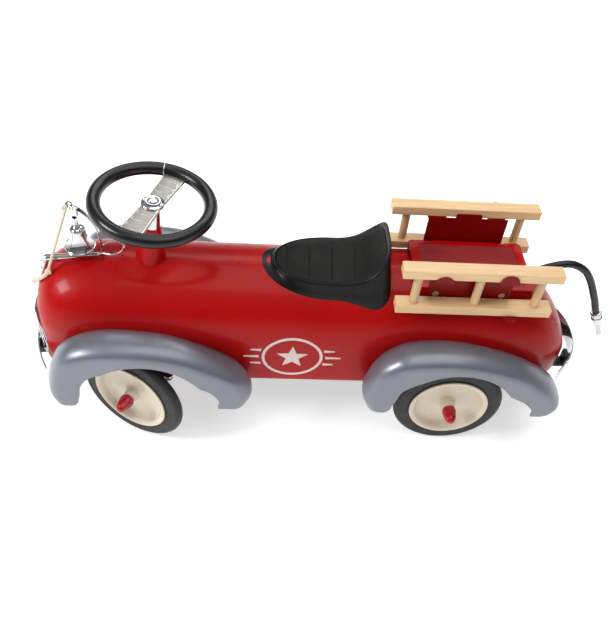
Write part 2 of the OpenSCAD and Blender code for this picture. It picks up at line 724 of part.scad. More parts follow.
// The hose's end leans the way its last stretch does
hose_end = hose_route[len(hose_route) - 1];
hose_dir = unit(hose_end - hose_route[len(hose_route) - 2]);
module at_hose_end(d) translate(hose_end + d * hose_dir)
    rotate([0, atan2(hose_dir[0], hose_dir[2]), 0]) children();
module hose_ferrule() {
    color(chrome) at_hose_end(0) rotate_extrude()
        polygon([[0, 0], [7, 0], [8.6, 2], [8.6, 5], [7.4, 6], [7.4, 10], [8.8, 11], [8.8, 15],
                 [7, 17], [0, 17]]);
}
module hose_nozzle() {
    color(chrome) at_hose_end(17) rotate_extrude()
        polygon([[0, 0], [6.6, 0], [6.6, 5], [3.4, 31], [4.2, 32], [4.2, 36], [2.2, 36], [2.2, 26], [0, 26]]);
}

// ---------- Bell ----------

base_rear = [306, 0, 244];
base_front = [376, 0, 236];
base_foot = [384.5, 0, 210.5];
module bell_base() {
    color(chrome) {
        hull() {
            translate(base_rear) sphere(r = 4.2, $fn = 24);
            translate(base_front) sphere(r = 5, $fn = 24);
        }
        hull() {
            translate(base_front) sphere(r = 4.2, $fn = 24);
            translate(base_foot) sphere(r = 3.4, $fn = 24);
        }
    }
}

// The hanger is a bent strip with two ears and a pin, on which the bell's eye turns
hanger_path = [[300, 248], [300, 272], [302, 290], [309, 307], [320, 321], [333, 328]];
bell_pin_r = 1.5;
pin_z = bell_pivot_z + 2;
module bell_hanger() {
    p = smooth(hanger_path, 3);
    n = len(p);
    dirs = [for (i = [0:n - 1]) unit(p[min(i + 1, n - 1)] - p[max(i - 1, 0)])];
    left = [for (i = [0:n - 1]) p[i] + 1.6 * [-dirs[i][1], dirs[i][0]]];
    right = [for (i = [n - 1:-1:0]) p[i] - 1.6 * [-dirs[i][1], dirs[i][0]]];
    color(chrome) difference() {
        union() {
            translate([0, 4, 0]) rotate([90, 0, 0]) linear_extrude(8) polygon(concat(left, right));
            translate([334, 4, 327]) rotate([90, 0, 0]) cylinder(r = 6, h = 8);
            for (y = [2.5, -4.5]) {
                translate([bell_x, y + 2, pin_z]) rotate([90, 0, 0]) cylinder(r = 4, h = 2);
                translate([bell_x - 4, y, pin_z]) cube([8, 2, 15]);
            }
            translate([bell_x, 0, pin_z]) rotate([90, 0, 0]) cylinder(r = bell_pin_r, h = 8, center = true);
        }
        translate([334, 5, 327]) rotate([90, 0, 0]) cylinder(r = 3, h = 10);
    }
}

// Profile about the bell's axis, up from its mouth; a cross pin inside carries the clapper
clapper_up = 29;
module bell() {
    drop = pin_z - bell_mouth_z;
    r = bell_d / 2;
    color(chrome) translate([bell_x, 0, bell_mouth_z]) difference() {
        union() {
            rotate_extrude() polygon([
                [0, 34], [5, 33.7], [9, 31.8], [10, 28.8], [10.6, 22], [12, 14.8], [14.5, 8.2],
                [18.4, 3], [r, 0], [r - 1.6, 0], [16.8, 2.7], [12.9, 7.9], [10.4, 14.8], [9, 22],
                [8.4, 27.8], [7.6, 30.4], [4.4, 32], [0, 32.3]]);
            translate([0, 0, 33]) cylinder(r = 2, h = drop - 35);
            translate([0, 0, drop]) rotate([90, 0, 0]) cylinder(r = 3.2, h = 4.4, center = true);
            translate([0, 0, clapper_up]) rotate([90, 0, 0]) cylinder(r = 0.8, h = 16, center = true);
        }
        translate([0, 0, drop]) rotate([90, 0, 0]) cylinder(r = bell_pin_r + run, h = 6, center = true);
    }
}

module bell_clapper() {
    color(chrome) translate([bell_x, 0, bell_mouth_z]) difference() {
        union() {
            translate([0, 0, 6]) cylinder(r = 1, h = clapper_up - 7);
            translate([0, 0, 7]) sphere(r = 4);
            translate([0, 0, clapper_up]) rotate([90, 0, 0]) cylinder(r = 2.2, h = 3, center = true);
        }
        translate([0, 0, clapper_up]) rotate([90, 0, 0]) cylinder(r = 0.8 + run, h = 5, center = true);
    }
}

module bell_wire_loop() {
    path = smooth([[303, -7, 252], [296, -12, 255], [284, -13, 258], [274, -9, 259],
                   [270, 0, 260], [274, 9, 259], [284, 12, 257], [296, 8, 255], [303, 6, 252]], 2);
    color(chrome) loft(tube_rings(path, 1.3, 8, [0, 0, 1]));
}

// The tail is wound round with yarn, so it is thicker than the rope above it
module bell_rope() {
    path = concat(rope_route, [for (i = [1:len(rope_tail) - 1]) rope_tail[i]]);
    radii = [for (i = [0:len(path) - 1]) i < len(rope_route) - 1 ? 2.2 : 3];
    color("ivory") loft(tube_rings(path, radii, 8, [0, 1, 0]), true);
}
// A knot round the hanger's eye, one on the hood, and the ball at the tail's end
module bell_rope_knots() {
    color("ivory") {
        translate([337.5, 7, 331]) sphere(r = 4.5);
        translate([370.2, 22.6, 231.4]) sphere(r = 4.8);
        translate([396.4, 8, 199.6]) sphere(r = 4.2);
    }
}

body_shell();
floor_pan();
grille();
front_bumper();
rear_bumper();
bumper_overriders();
bumper_brackets();
front_left_fender();
front_right_fender();
rear_left_fender();
rear_right_fender();
column_housing();
column_bracket();
front_axle_beam();
kingpins();
rear_axle();
rear_axle_saddles();
seat();
seat_bolts();
seat_tie_rod();
side_emblems();
hose_box();
ladder_brackets();
bracket_bolts();
lid_hinge_pin();
hose_socket();
bell_base();
bell_hanger();
bell_wire_loop();
bell_rope();
bell_rope_knots();
box_lid();
steering_column();
steering_wheel_rim();
steering_spoke();
steering_hub_nut();
left_knuckle();
right_knuckle();
tie_rod();
front_left_tyre();
front_left_wheel_disc();
front_left_hub_cap();
front_right_tyre();
front_right_wheel_disc();
front_right_hub_cap();
rear_left_tyre();
rear_left_wheel_disc();
rear_left_hub_cap();
rear_right_tyre();
rear_right_wheel_disc();
rear_right_hub_cap();
left_ladder_rails();
left_ladder_rungs();
right_ladder_rails();
right_ladder_rungs();
bell();
bell_clapper();
hose();
hose_ferrule();
hose_nozzle();
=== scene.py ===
import bpy
import bmesh
import math
from mathutils import Matrix, Vector


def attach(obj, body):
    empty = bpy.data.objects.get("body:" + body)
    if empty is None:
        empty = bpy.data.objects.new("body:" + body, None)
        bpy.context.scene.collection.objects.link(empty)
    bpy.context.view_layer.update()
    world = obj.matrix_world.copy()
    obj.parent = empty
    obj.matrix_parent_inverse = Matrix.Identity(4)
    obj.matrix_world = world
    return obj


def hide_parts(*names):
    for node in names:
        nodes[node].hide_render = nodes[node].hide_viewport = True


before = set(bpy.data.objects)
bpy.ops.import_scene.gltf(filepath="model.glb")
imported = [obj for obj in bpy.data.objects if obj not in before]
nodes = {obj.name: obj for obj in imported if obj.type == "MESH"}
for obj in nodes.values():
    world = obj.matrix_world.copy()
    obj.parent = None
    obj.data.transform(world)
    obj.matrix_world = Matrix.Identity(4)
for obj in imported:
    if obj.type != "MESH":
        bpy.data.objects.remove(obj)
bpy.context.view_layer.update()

# Everything below is worked out in millimetres in the CAD frame and turned to metres in mesh code
MM = 0.001


# ---------- Camera ----------

# Where the camera stands and looks, in metres, its roll in radians and its lens, as widths of the sensor
CAMERA_AT = (0.10228, 0.78469, 0.96638)
CAMERA_LOOK = (-0.08124506, -0.69123074, -0.71805244)
CAMERA_ROLL = 0.117
LENS_WIDTHS = 763.1 / 618
SENSOR = 36


def make_camera():
    look = Vector(CAMERA_LOOK).normalized()
    right = look.cross(Vector((0, 0, 1))).normalized()
    up = right.cross(look)
    rolled_right = math.cos(CAMERA_ROLL) * right + math.sin(CAMERA_ROLL) * up
    rolled_up = -math.sin(CAMERA_ROLL) * right + math.cos(CAMERA_ROLL) * up
    data = bpy.data.cameras.new("camera")
    data.sensor_width = SENSOR
    data.lens = LENS_WIDTHS * SENSOR
    data.clip_start = 0.01
    data.clip_end = 50
    cam = bpy.data.objects.new("camera", data)
    m = Matrix((rolled_right, rolled_up, -look)).transposed().to_4x4()
    m.translation = Vector(CAMERA_AT)
    cam.matrix_world = m
    bpy.context.collection.objects.link(cam)
    bpy.context.scene.camera = cam


make_camera()


# ---------- Mesh helpers ----------

def new_object(name, points, faces, smooth=True, angle=35):
    mesh = bpy.data.meshes.new(name)
    mesh.from_pydata([[c * MM for c in p] for p in points], [], faces)
    return finish_mesh(name, mesh, smooth, angle)


def finish_mesh(name, mesh, smooth=True, angle=35):
    bm = bmesh.new()
    bm.from_mesh(mesh)
    bmesh.ops.remove_doubles(bm, verts=bm.verts, dist=1e-6)
    bmesh.ops.recalc_face_normals(bm, faces=bm.faces)
    bm.to_mesh(mesh)
    bm.free()
    for p in mesh.polygons:
        p.use_smooth = smooth
    if smooth:
        mesh.set_sharp_from_angle(angle=math.radians(angle))
    obj = bpy.data.objects.new(name, mesh)
    bpy.context.collection.objects.link(obj)
    return obj


def grid_faces(rows, cols, wrap_rows=False, wrap_cols=False, base=0):
    faces = []
    for i in range(rows if wrap_rows else rows - 1):
        for j in range(cols if wrap_cols else cols - 1):
            a = base + i * cols + j
            b = base + i * cols + (j + 1) % cols
            c = base + ((i + 1) % rows) * cols + (j + 1) % cols
            d = base + ((i + 1) % rows) * cols + j
            faces.append((a, b, c, d))
    return faces


def loft(name, rings, wrap=True, caps=True, **how):
    rows, cols = len(rings), len(rings[0])
    faces = grid_faces(rows, cols, wrap_cols=wrap)
    if caps:
        faces.append(tuple(range(cols)))
        faces.append(tuple((rows - 1) * cols + j for j in range(cols)))
    return new_object(name, [p for r in rings for p in r], faces, **how)


def revolve(name, profile, to_world, steps=96, closed=True, **how):
    """Turns (radius, height) points about an axis; to_world maps (x, y, height) to the CAD frame."""
    points = []
    for k in range(steps):
        a = 2 * math.pi * k / steps
        for r, h in profile:
            points.append(to_world(r * math.cos(a), r * math.sin(a), h))
    faces = grid_faces(steps, len(profile), wrap_rows=True, wrap_cols=closed)
    return new_object(name, points, faces, **how)


def circle(count, r, cx=0.0, cy=0.0):
    angles = [2 * math.pi * k / count for k in range(count)]
    return [(cx + r * math.cos(a), cy + r * math.sin(a)) for a in angles]


def unit(v):
    n = math.sqrt(sum(c * c for c in v))
    return [c / n for c in v]


def cross(a, b):
    return [a[1] * b[2] - a[2] * b[1], a[2] * b[0] - a[0] * b[2], a[0] * b[1] - a[1] * b[0]]


def smooth_path(p, n):
    out = []
    last = len(p) - 1
    for i in range(last):
        a, b, c, d = p[max(i - 1, 0)], p[i], p[i + 1], p[min(i + 2, last)]
        for k in range(n):
            t = k / n
            out.append([0.5 * (2 * y + (z - x) * t + (2 * x - 5 * y + 4 * z - w) * t * t
                               + (3 * y - x - 3 * z + w) * t ** 3) for x, y, z, w in zip(a, b, c, d)])
    out.append(list(p[-1]))
    return out


def tube_rings(path, radius, sides, side=(0, 1, 0)):
    """Rings of a round tube; side is a direction that the path never runs along."""
    rings = []
    for i, p in enumerate(path):
        before = path[max(i - 1, 0)]
        after = path[min(i + 1, len(path) - 1)]
        t = unit([b - a for a, b in zip(before, after)])
        u = unit(cross(t, side))
        v = cross(t, u)
        ring = []
        for cu, cv in circle(sides, 1):
            ring.append([p[c] + radius * (cu * u[c] + cv * v[c]) for c in range(3)])
        rings.append(ring)
    return rings


def tube(name, path, radius, sides=16, side=(0, 1, 0), **how):
    return loft(name, tube_rings(path, radius, sides, side), **how)


def joined(name, parts):
    """One object from several, in one mesh."""
    bm = bmesh.new()
    for p in parts:
        bm.from_mesh(p.data)
        bpy.data.objects.remove(p)
    mesh = bpy.data.meshes.new(name)
    bm.to_mesh(mesh)
    bm.free()
    obj = bpy.data.objects.new(name, mesh)
    bpy.context.collection.objects.link(obj)
    return obj


def applied(obj):
    """Bakes an object's modifiers into its mesh."""
    dg = bpy.context.evaluated_depsgraph_get()
    mesh = bpy.data.meshes.new_from_object(obj.evaluated_get(dg))
    obj.modifiers.clear()
    obj.data = mesh
    return obj


def bevel(obj, width, segments=3, angle=35):
    m = obj.modifiers.new("bevel", "BEVEL")
    m.width = width * MM
    m.segments = segments
    m.limit_method = "ANGLE"
    m.angle_limit = math.radians(angle)
    m.harden_normals = True
    return applied(obj)


def cut(obj, *tools):
    for t in tools:
        m = obj.modifiers.new("cut", "BOOLEAN")
        m.operation = "DIFFERENCE"
        m.solver = "EXACT"
        m.object = t
    applied(obj)
    for t in tools:
        bpy.data.objects.remove(t)
    return obj


def block(name, lo, hi):
    points = [[x, y, z] for x in (lo[0], hi[0]) for y in (lo[1], hi[1]) for z in (lo[2], hi[2])]
    faces = [(0, 1, 3, 2), (4, 6, 7, 5), (0, 4, 5, 1), (2, 3, 7, 6), (0, 2, 6, 4), (1, 5, 7, 3)]
    return new_object(name, points, faces, smooth=False)


def rod(name, start, end, radius, sides=48):
    t = unit([b - a for a, b in zip(start, end)])
    side = (0, 1, 0) if abs(t[1]) < 0.9 else (1, 0, 0)
    return tube(name, [list(start), list(end)], radius, sides, side)


# ---------- Materials ----------

def material(name, colour, rough, metal=0.0, coat=0.0, coat_rough=0.05, sheen=0.0, specular=0.5):
    mat = bpy.data.materials.new(name)
    mat.use_nodes = True
    tree = mat.node_tree
    shader = tree.nodes["Principled BSDF"]
    shader.inputs["Metallic"].default_value = metal
    shader.inputs["Coat Weight"].default_value = coat
    shader.inputs["Coat Roughness"].default_value = coat_rough
    shader.inputs["Sheen Weight"].default_value = sheen
    shader.inputs["Specular IOR Level"].default_value = specular
    shader.inputs["Base Color"].default_value = (*colour, 1)
    shader.inputs["Roughness"].default_value = rough
    return mat, tree, shader


def place(tree, scale=(1, 1, 1)):
    coords = tree.nodes.new("ShaderNodeTexCoord")
    mapping = tree.nodes.new("ShaderNodeMapping")
    mapping.inputs["Scale"].default_value = scale
    tree.links.new(coords.outputs["Object"], mapping.inputs["Vector"])
    return mapping.outputs["Vector"]


def noise(tree, where, scale, detail=4.0, rough=0.5, distort=0.0):
    n = tree.nodes.new("ShaderNodeTexNoise")
    n.inputs["Scale"].default_value = scale
    n.inputs["Detail"].default_value = detail
    n.inputs["Roughness"].default_value = rough
    n.inputs["Distortion"].default_value = distort
    tree.links.new(where, n.inputs["Vector"])
    return n.outputs["Fac"]


def ramp(tree, value, stops):
    r = tree.nodes.new("ShaderNodeValToRGB")
    els = r.color_ramp.elements
    while len(els) < len(stops):
        els.new(0.5)
    for e, (at, colour) in zip(els, stops):
        e.position = at
        e.color = (*colour, 1) if len(colour) == 3 else colour
    tree.links.new(value, r.inputs["Fac"])
    return r.outputs["Color"]


def spread(tree, value, low, high, at=(0.3, 0.7)):
    m = tree.nodes.new("ShaderNodeMapRange")
    m.inputs["From Min"].default_value = at[0]
    m.inputs["From Max"].default_value = at[1]
    m.inputs["To Min"].default_value = low
    m.inputs["To Max"].default_value = high
    tree.links.new(value, m.inputs["Value"])
    return m.outputs["Result"]


def bump(tree, shader, height, depth, strength=1.0):
    b = tree.nodes.new("ShaderNodeBump")
    b.inputs["Distance"].default_value = depth * MM
    b.inputs["Strength"].default_value = strength
    tree.links.new(height, b.inputs["Height"])
    tree.links.new(b.outputs["Normal"], shader.inputs["Normal"])


def colour_by(tree, shader, value, *stops):
    tree.links.new(ramp(tree, value, stops), shader.inputs["Base Color"])


def rough_by(tree, shader, value, low, high):
    tree.links.new(spread(tree, value, low, high), shader.inputs["Roughness"])


def varied(colour, down, up):
    return [tuple(c * down for c in colour), tuple(min(1, c * up) for c in colour)]


def enamel(name, colour, rough=0.16, coat=1.0, peel=0.02, specular=0.5, spread_by=(0.93, 1.06)):
    """Sprayed enamel: faint tone changes, orange peel and slightly uneven gloss."""
    mat, tree, shader = material(name, colour, rough, 0, coat, 0.12, 0, specular)
    where = place(tree)
    tone = noise(tree, where, 9, 3)
    low, high = varied(colour, *spread_by)
    colour_by(tree, shader, tone, (0.3, low), (0.7, high))
    rough_by(tree, shader, noise(tree, where, 60, 5), rough * 0.8, rough * 1.3)
    bump(tree, shader, noise(tree, where, 420, 2), peel)
    return mat


def metallic_paint(name, colour):
    """Lacquer over fine metal flake."""
    mat, tree, shader = material(name, colour, 0.4, 0.45, 0.25, 0.2)
    where = place(tree)
    flake = tree.nodes.new("ShaderNodeTexVoronoi")
    flake.inputs["Scale"].default_value = 2600
    tree.links.new(where, flake.inputs["Vector"])
    low, high = varied(colour, 0.88, 1.15)
    mixed = tree.nodes.new("ShaderNodeMix")
    mixed.data_type = "RGBA"
    mixed.inputs["Factor"].default_value = 0.4
    tree.links.new(ramp(tree, flake.outputs["Distance"], [(0.1, low), (0.8, high)]), mixed.inputs["A"])
    tree.links.new(ramp(tree, noise(tree, where, 12, 3), [(0.3, low), (0.7, high)]), mixed.inputs["B"])
    tree.links.new(mixed.outputs["Result"], shader.inputs["Base Color"])
    rough_by(tree, shader, noise(tree, where, 90, 4), 0.31, 0.42)
    bump(tree, shader, noise(tree, where, 500, 2), 0.012)
    return mat


def polished(name, colour=(0.8, 0.8, 0.81), rough=0.07):
    """Chrome plate with the faint waviness of polishing."""
    mat, tree, shader = material(name, colour, rough, 1.0)
    where = place(tree)
    low, high = varied(colour, 0.9, 1.08)
    colour_by(tree, shader, noise(tree, where, 40, 3), (0.35, low), (0.65, high))
    rough_by(tree, shader, noise(tree, where, 220, 5), rough * 0.6, rough * 2)
    bump(tree, shader, noise(tree, where, 70, 2), 0.05)
    return mat


def brushed(name, colour):
    """Stamped sheet with fine brushing."""
    mat, tree, shader = material(name, colour, 0.38, 0.75)
    where = place(tree, (1, 12, 1))
    low, high = varied(colour, 0.86, 1.1)
    lines = noise(tree, where, 260, 6)
    colour_by(tree, shader, lines, (0.3, low), (0.7, high))
    rough_by(tree, shader, lines, 0.3, 0.5)
    bump(tree, shader, lines, 0.02)
    return mat


def rubber(name, colour, rough=0.55, grain=700, depth=0.05, specular=0.4):
    """Moulded rubber: dusty patches over a fine matte grain."""
    mat, tree, shader = material(name, colour, rough, specular=specular)
    where = place(tree)
    low, high = varied(colour, 0.75, 1.5)
    colour_by(tree, shader, noise(tree, where, 26, 6), (0.3, low), (0.75, high))
    rough_by(tree, shader, noise(tree, where, 80, 5), rough * 0.85, rough * 1.2)
    bump(tree, shader, noise(tree, where, grain, 3), depth)
    return mat


def leather(name, colour, rough, cell, depth, specular=0.35):
    """Moulded skin with a pebbled grain; a cell is that many millimetres across. The colour follows the
    pebbles' height, with painted highlight on their tops and painted shade in the creases between them.
    """
    mat, tree, shader = material(name, colour, rough, specular=specular)
    where = place(tree)
    cells = tree.nodes.new("ShaderNodeTexVoronoi")
    cells.inputs["Scale"].default_value = 1000 / cell
    cells.feature = "SMOOTH_F1"
    tree.links.new(where, cells.inputs["Vector"])
    low, high = varied(colour, 0.7, 1.7)
    # Painted highlight and painted shade: pebble tops lighter and the creases between them darker, from the
    # same cells as the bump
    colour_by(tree, shader, cells.outputs["Distance"], (0.15, high), (0.7, low))
    rough_by(tree, shader, noise(tree, where, 60, 4), rough * 0.85, rough * 1.2)
    bump(tree, shader, cells.outputs["Distance"], -depth)
    return mat


def wood(name, light, dark, long_axis=0):
    """Straight-grained beech: long streaks, short pores and a dull lacquer."""
    mat, tree, shader = material(name, light, 0.45, 0.0, 0.15, 0.3)
    stretch = [26, 26, 26]
    stretch[long_axis] = 1.3
    where = place(tree, stretch)
    streaks = noise(tree, where, 9, 8, 0.6, 0.4)
    fine = place(tree, [s * 3 for s in stretch])
    pores = noise(tree, fine, 14, 4, 0.7)
    mixed = tree.nodes.new("ShaderNodeMix")
    mixed.data_type = "RGBA"
    mixed.inputs["Factor"].default_value = 0.35
    mid = tuple((a + b) / 2 for a, b in zip(light, dark))
    tree.links.new(ramp(tree, streaks, [(0.35, light), (0.62, mid), (0.8, dark)]), mixed.inputs["A"])
    tree.links.new(ramp(tree, pores, [(0.3, dark), (0.6, light)]), mixed.inputs["B"])
    tree.links.new(mixed.outputs["Result"], shader.inputs["Base Color"])
    rough_by(tree, shader, pores, 0.38, 0.58)
    bump(tree, shader, pores, 0.05)
    return mat


def cotton(name, colour):
    """Cotton yarn with short fibres."""
    mat, tree, shader = material(name, colour, 0.85, sheen=0.4)
    where = place(tree)
    low, high = varied(colour, 0.72, 1.12)
    fibres = noise(tree, where, 900, 5, 0.7)
    colour_by(tree, shader, fibres, (0.3, low), (0.65, high))
    rough_by(tree, shader, fibres, 0.75, 0.95)
    bump(tree, shader, fibres, 0.15)
    return mat


RED = enamel("red_enamel", (0.4, 0.002, 0.0025), 0.32, 0.12, 0.015, 0.12)
DARK_RED = enamel("dark_red_enamel", (0.22, 0.0015, 0.002), 0.36, 0.06, 0.02, 0.12)
PANEL_RED = enamel("panel_red", (0.25, 0.018, 0.022), 0.5, 0.0, 0.04, 0.25)
FENDER = metallic_paint("fender_lacquer", (0.185, 0.195, 0.235))
BLACK_STEEL = enamel("black_steel", (0.012, 0.012, 0.013), 0.45, 0.1, 0.05, 0.3)
CHROME = polished("chrome", (0.6, 0.6, 0.61))
SPOKE = brushed("spoke_metal", (0.34, 0.33, 0.3))
# Near-white metal for the rim's band and the spoke's raised lines; on the spoke its brightness is a painted
# highlight on the raised edges and brackets
BAND_AND_HIGHLIGHT_METAL = polished("band_and_highlight_metal", (0.95, 0.93, 0.85), 0.25)
CREAM = enamel("cream_enamel", (0.72, 0.63, 0.5), 0.3, 0.3, 0.015, 0.3, (0.95, 1.05))
TYRE = rubber("tyre_rubber", (0.016, 0.017, 0.016), 0.5, specular=0.3)
HOSE_RUBBER = rubber("hose_rubber", (0.005, 0.005, 0.005), 0.3, 500, 0.03)
RIM_BLACK = rubber("rim_black", (0.004, 0.004, 0.005), 0.26, 260, 0.008, 0.45)
PAD_BLACK = leather("pad_black", (0.008, 0.009, 0.0075), 0.5, 1.0, 0.1, 0.14)
SKIRT_BLACK = leather("skirt_black", (0.003, 0.003, 0.004), 0.3, 1.4, 0.012, 0.22)
BEECH_X = wood("beech_along_x", (0.88, 0.62, 0.34), (0.6, 0.36, 0.16), 0)
BEECH_Z = wood("beech_along_z", (0.74, 0.5, 0.27), (0.48, 0.28, 0.13), 2)
ROPE = cotton("rope_cotton", (0.8, 0.7, 0.52))
CAP_RED = enamel("cap_red", (0.38, 0.004, 0.012), 0.16, 0.4, 0.01, 0.25)
WHITE_PRINT = enamel("white_print", (0.75, 0.6, 0.57), 0.4, 0.2, 0.01, 0.3)


def dress(obj, mat, body, slot, *replaced):
    obj.data.materials.clear()
    obj.data.materials.append(mat)
    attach(obj, body)
    if replaced:
        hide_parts(*replaced)
    return obj


def dress_node(name, mat):
    for s in nodes[name].material_slots:
        s.material = mat


# ---------- Body surface ----------

NOSE_0, NOSE_1, TAIL_0, TAIL_1 = 200, 396, -118, -388
NOSE_MID, TAIL_MID = 150, 105
BODY_HALF, HOOD_TOP, FLOOR_Z = 85, 248, 88
SIDE_Z = HOOD_TOP - 84
SHEET = 2
FRONT_X, REAR_X, WHEEL_R = 239, -198, 80
FRONT_ARCH_R, REAR_ARCH_R = 96, 90
BOX_X, BOX_LEN, BOX_HALF, BOX_TOP = -212, 160, 51, 248
FIT = 0.4


def mix(a, b, t):
    return a + (b - a) * t


def nose_g(x):
    return 1 if x <= NOSE_0 else (1 - min((x - NOSE_0) / (NOSE_1 - NOSE_0), 1) ** 5) ** (1 / 3)


def tail_t(x):
    return 0 if x >= TAIL_0 else min((TAIL_0 - x) / (TAIL_0 - TAIL_1), 1)


def half_w(x):
    return BODY_HALF * (nose_g(x) if x > 0 else (1 - tail_t(x) ** 6) ** 0.5)


def close_z(x):
    return nose_g(x) if x > 0 else (1 - tail_t(x) ** 4) ** (2 / 3)


def top_z(x):
    return mix(NOSE_MID if x > 0 else TAIL_MID, HOOD_TOP, close_z(x))


def shoulder_z(x):
    return mix(NOSE_MID if x > 0 else TAIL_MID, SIDE_Z, close_z(x))


def body_y(x, z):
    if z <= shoulder_z(x):
        return half_w(x)
    rise = (z - shoulder_z(x)) / (top_z(x) - shoulder_z(x))
    return half_w(x) * math.sqrt(max(0, 1 - rise * rise))


def body_z(x, y):
    return mix(shoulder_z(x), top_z(x), math.sqrt(max(0, 1 - (y / half_w(x)) ** 2)))


def body_ring(x):
    """The section at x: a lower edge tucked in a little, an upright side and a domed top."""
    w, zs, zt = half_w(x), shoulder_z(x), top_z(x)
    side_foot = FLOOR_Z + 14
    low = [[x, w - 2, FLOOR_Z], [x, w - 0.8, FLOOR_Z + 4], [x, w, side_foot]]
    low += [[x, w, mix(side_foot, zs, k / 4)] for k in range(1, 4)]
    arc = [[x, w * math.cos(math.radians(a)), zs + (zt - zs) * math.sin(math.radians(a))]
           for a in range(0, 181, 4)]
    return low + arc + [[x, -p[1], p[2]] for p in reversed(low)]


# Where the nose and the tail have a section: degrees along their curves, closer near the ends
NOSE_ANGLES = (89.6, 88.6, 87.4, 86, 84, 81, 78, 74, 70, 65, 60, 54, 48, 42, 36, 30, 24, 18, 12, 7, 3, 1)
TAIL_ANGLES = (0.3, 2, 5, 9, 14, 20, 26, 32, 38, 44, 50, 56, 62, 68, 73, 78, 82, 85, 87.4, 88.8, 89.7)


def close_end(mesh, pick):
    """Closes a lofted shell with one face across the section furthest along x, as pick finds it."""
    bm = bmesh.new()
    bm.from_mesh(mesh)
    x_end = pick(p.co.x for p in bm.verts)
    section = [p for p in bm.verts if abs(p.co.x - x_end) < 1e-5]
    left = sorted((p for p in section if p.co.y >= 0), key=lambda p: p.co.z)
    right = sorted((p for p in section if p.co.y < 0), key=lambda p: -p.co.z)
    bm.faces.new(left + right)
    bm.to_mesh(mesh)
    bm.free()


def face_outward(mesh):
    bm = bmesh.new()
    bm.from_mesh(mesh)
    bmesh.ops.recalc_face_normals(bm, faces=bm.faces)
    bm.to_mesh(mesh)
    bm.free()


def make_body():
    nose = [NOSE_0 + (NOSE_1 - NOSE_0) * math.sin(math.radians(a)) ** 0.4 for a in NOSE_ANGLES]
    tail = [TAIL_0 - (TAIL_0 - TAIL_1) * math.sin(math.radians(a)) ** (1 / 3) for a in TAIL_ANGLES]
    xs = nose + list(range(190, TAIL_0, -14)) + tail
    shell = loft("body_shell_skin", [body_ring(x) for x in xs], wrap=False, caps=False)
    close_end(shell.data, max)
    close_end(shell.data, min)
    solid = shell.modifiers.new("sheet", "SOLIDIFY")
    solid.thickness = SHEET * MM
    solid.offset = -1
    applied(shell)
    face_outward(shell.data)
    tools = []
    for s in (-1, 1):
        for x, y0, y1, r in ((FRONT_X, 45, 105, FRONT_ARCH_R), (REAR_X, 78, 118, REAR_ARCH_R)):
            tools.append(rod("tool", (x, s * y0, WHEEL_R), (x, s * y1, WHEEL_R), r, 96))
    dx, dy = BOX_LEN / 2 + FIT, BOX_HALF + FIT
    tools.append(block("tool", (BOX_X - dx, -dy, 195), (BOX_X + dx, dy, 255)))
    cut(shell, *tools)
    for p in shell.data.polygons:
        p.use_smooth = True
    shell.data.set_sharp_from_angle(angle=math.radians(32))
    m = shell.modifiers.new("normals", "WEIGHTED_NORMAL")
    m.keep_sharp = True
    dress(applied(shell), RED, "body", "red_paint", "body_shell")


make_body()


# ---------- Fenders ----------

FRONT_CROWN = [
    [126, 84], [132, 106], [124, 146], [107, 173], [80, 189], [42, 196], [-11, 194],
    [-50, 186], [-89, 168], [-129, 142], [-145, 120], [-149, 102], [-142, 84]
]
REAR_CROWN = [
    [123, 84], [130, 105], [127, 128], [118, 155], [100, 175], [76, 189], [24, 195],
    [-28, 189], [-87, 169], [-136, 136], [-157, 113], [-164, 97], [-157, 84]
]
FENDER_HALF = 137
FENDER_LOW = 84
# The fenders' sections fan out from a point at this height over the wheel's contact point
FAN_Z = 78
# How far each point of a section lies in from the crown, and how far out from the body, of 54
SECTION_DEPTHS = [12, 2, 0, 2.5, 8, 15, 21]
SECTION_YS = [0, 15, 32, 43, 50.5, 53.6, 54]


def fender_section(c, x0):
    v = [c[0], c[1] - FAN_Z]
    far = math.hypot(*v)
    u = [v[0] / far, v[1] / far]
    tip = max(0, (100 - c[1]) / 16)
    low = max(91 + 6 * max(0, -u[0]) ** 12, far - 46) + 8 * tip * tip
    points = []
    for depth, out in zip(SECTION_DEPTHS, SECTION_YS):
        d = far - depth
        x, z = x0 + u[0] * d, FAN_Z + u[1] * d
        y = mix(body_y(x, z) + 0.3, FENDER_HALF, out / SECTION_YS[-1])
        points.append([x, y, max(z, FENDER_LOW)])
    points = smooth_path(points, 4)
    x, z = x0 + u[0] * low, FAN_Z + u[1] * low
    end = [x, FENDER_HALF, max(z, FENDER_LOW)]
    last = points[-1]
    return points + [[mix(a, b, k / 6) for a, b in zip(last, end)] for k in range(1, 7)]


def make_fender(name, crown, x0, side):
    path = smooth_path(crown, 9)
    rings = [[[p[0], side * p[1], p[2]] for p in fender_section(c, x0)] for c in path]
    skin = loft(name + "_skin", rings, wrap=False, caps=False, angle=60)
    solid = skin.modifiers.new("sheet", "SOLIDIFY")
    solid.thickness = SHEET * MM
    solid.offset = -1
    solid.use_even_offset = False
    applied(skin)
    # The sheet's free edge is rolled
    bevel(skin, 0.7, 2, 70)
    dress(skin, FENDER, "body", "fender_paint", name)


for end, crown, x0 in (("front", FRONT_CROWN, FRONT_X), ("rear", REAR_CROWN, REAR_X)):
    for label, side in (("left", 1), ("right", -1)):
        make_fender(end + "_" + label + "_fender", crown, x0, side)


# ---------- Grille and bumpers ----------

def nose_x(y):
    return min(393.2, NOSE_0 + (NOSE_1 - NOSE_0) * (1 - (y / BODY_HALF) ** 3) ** 0.2)


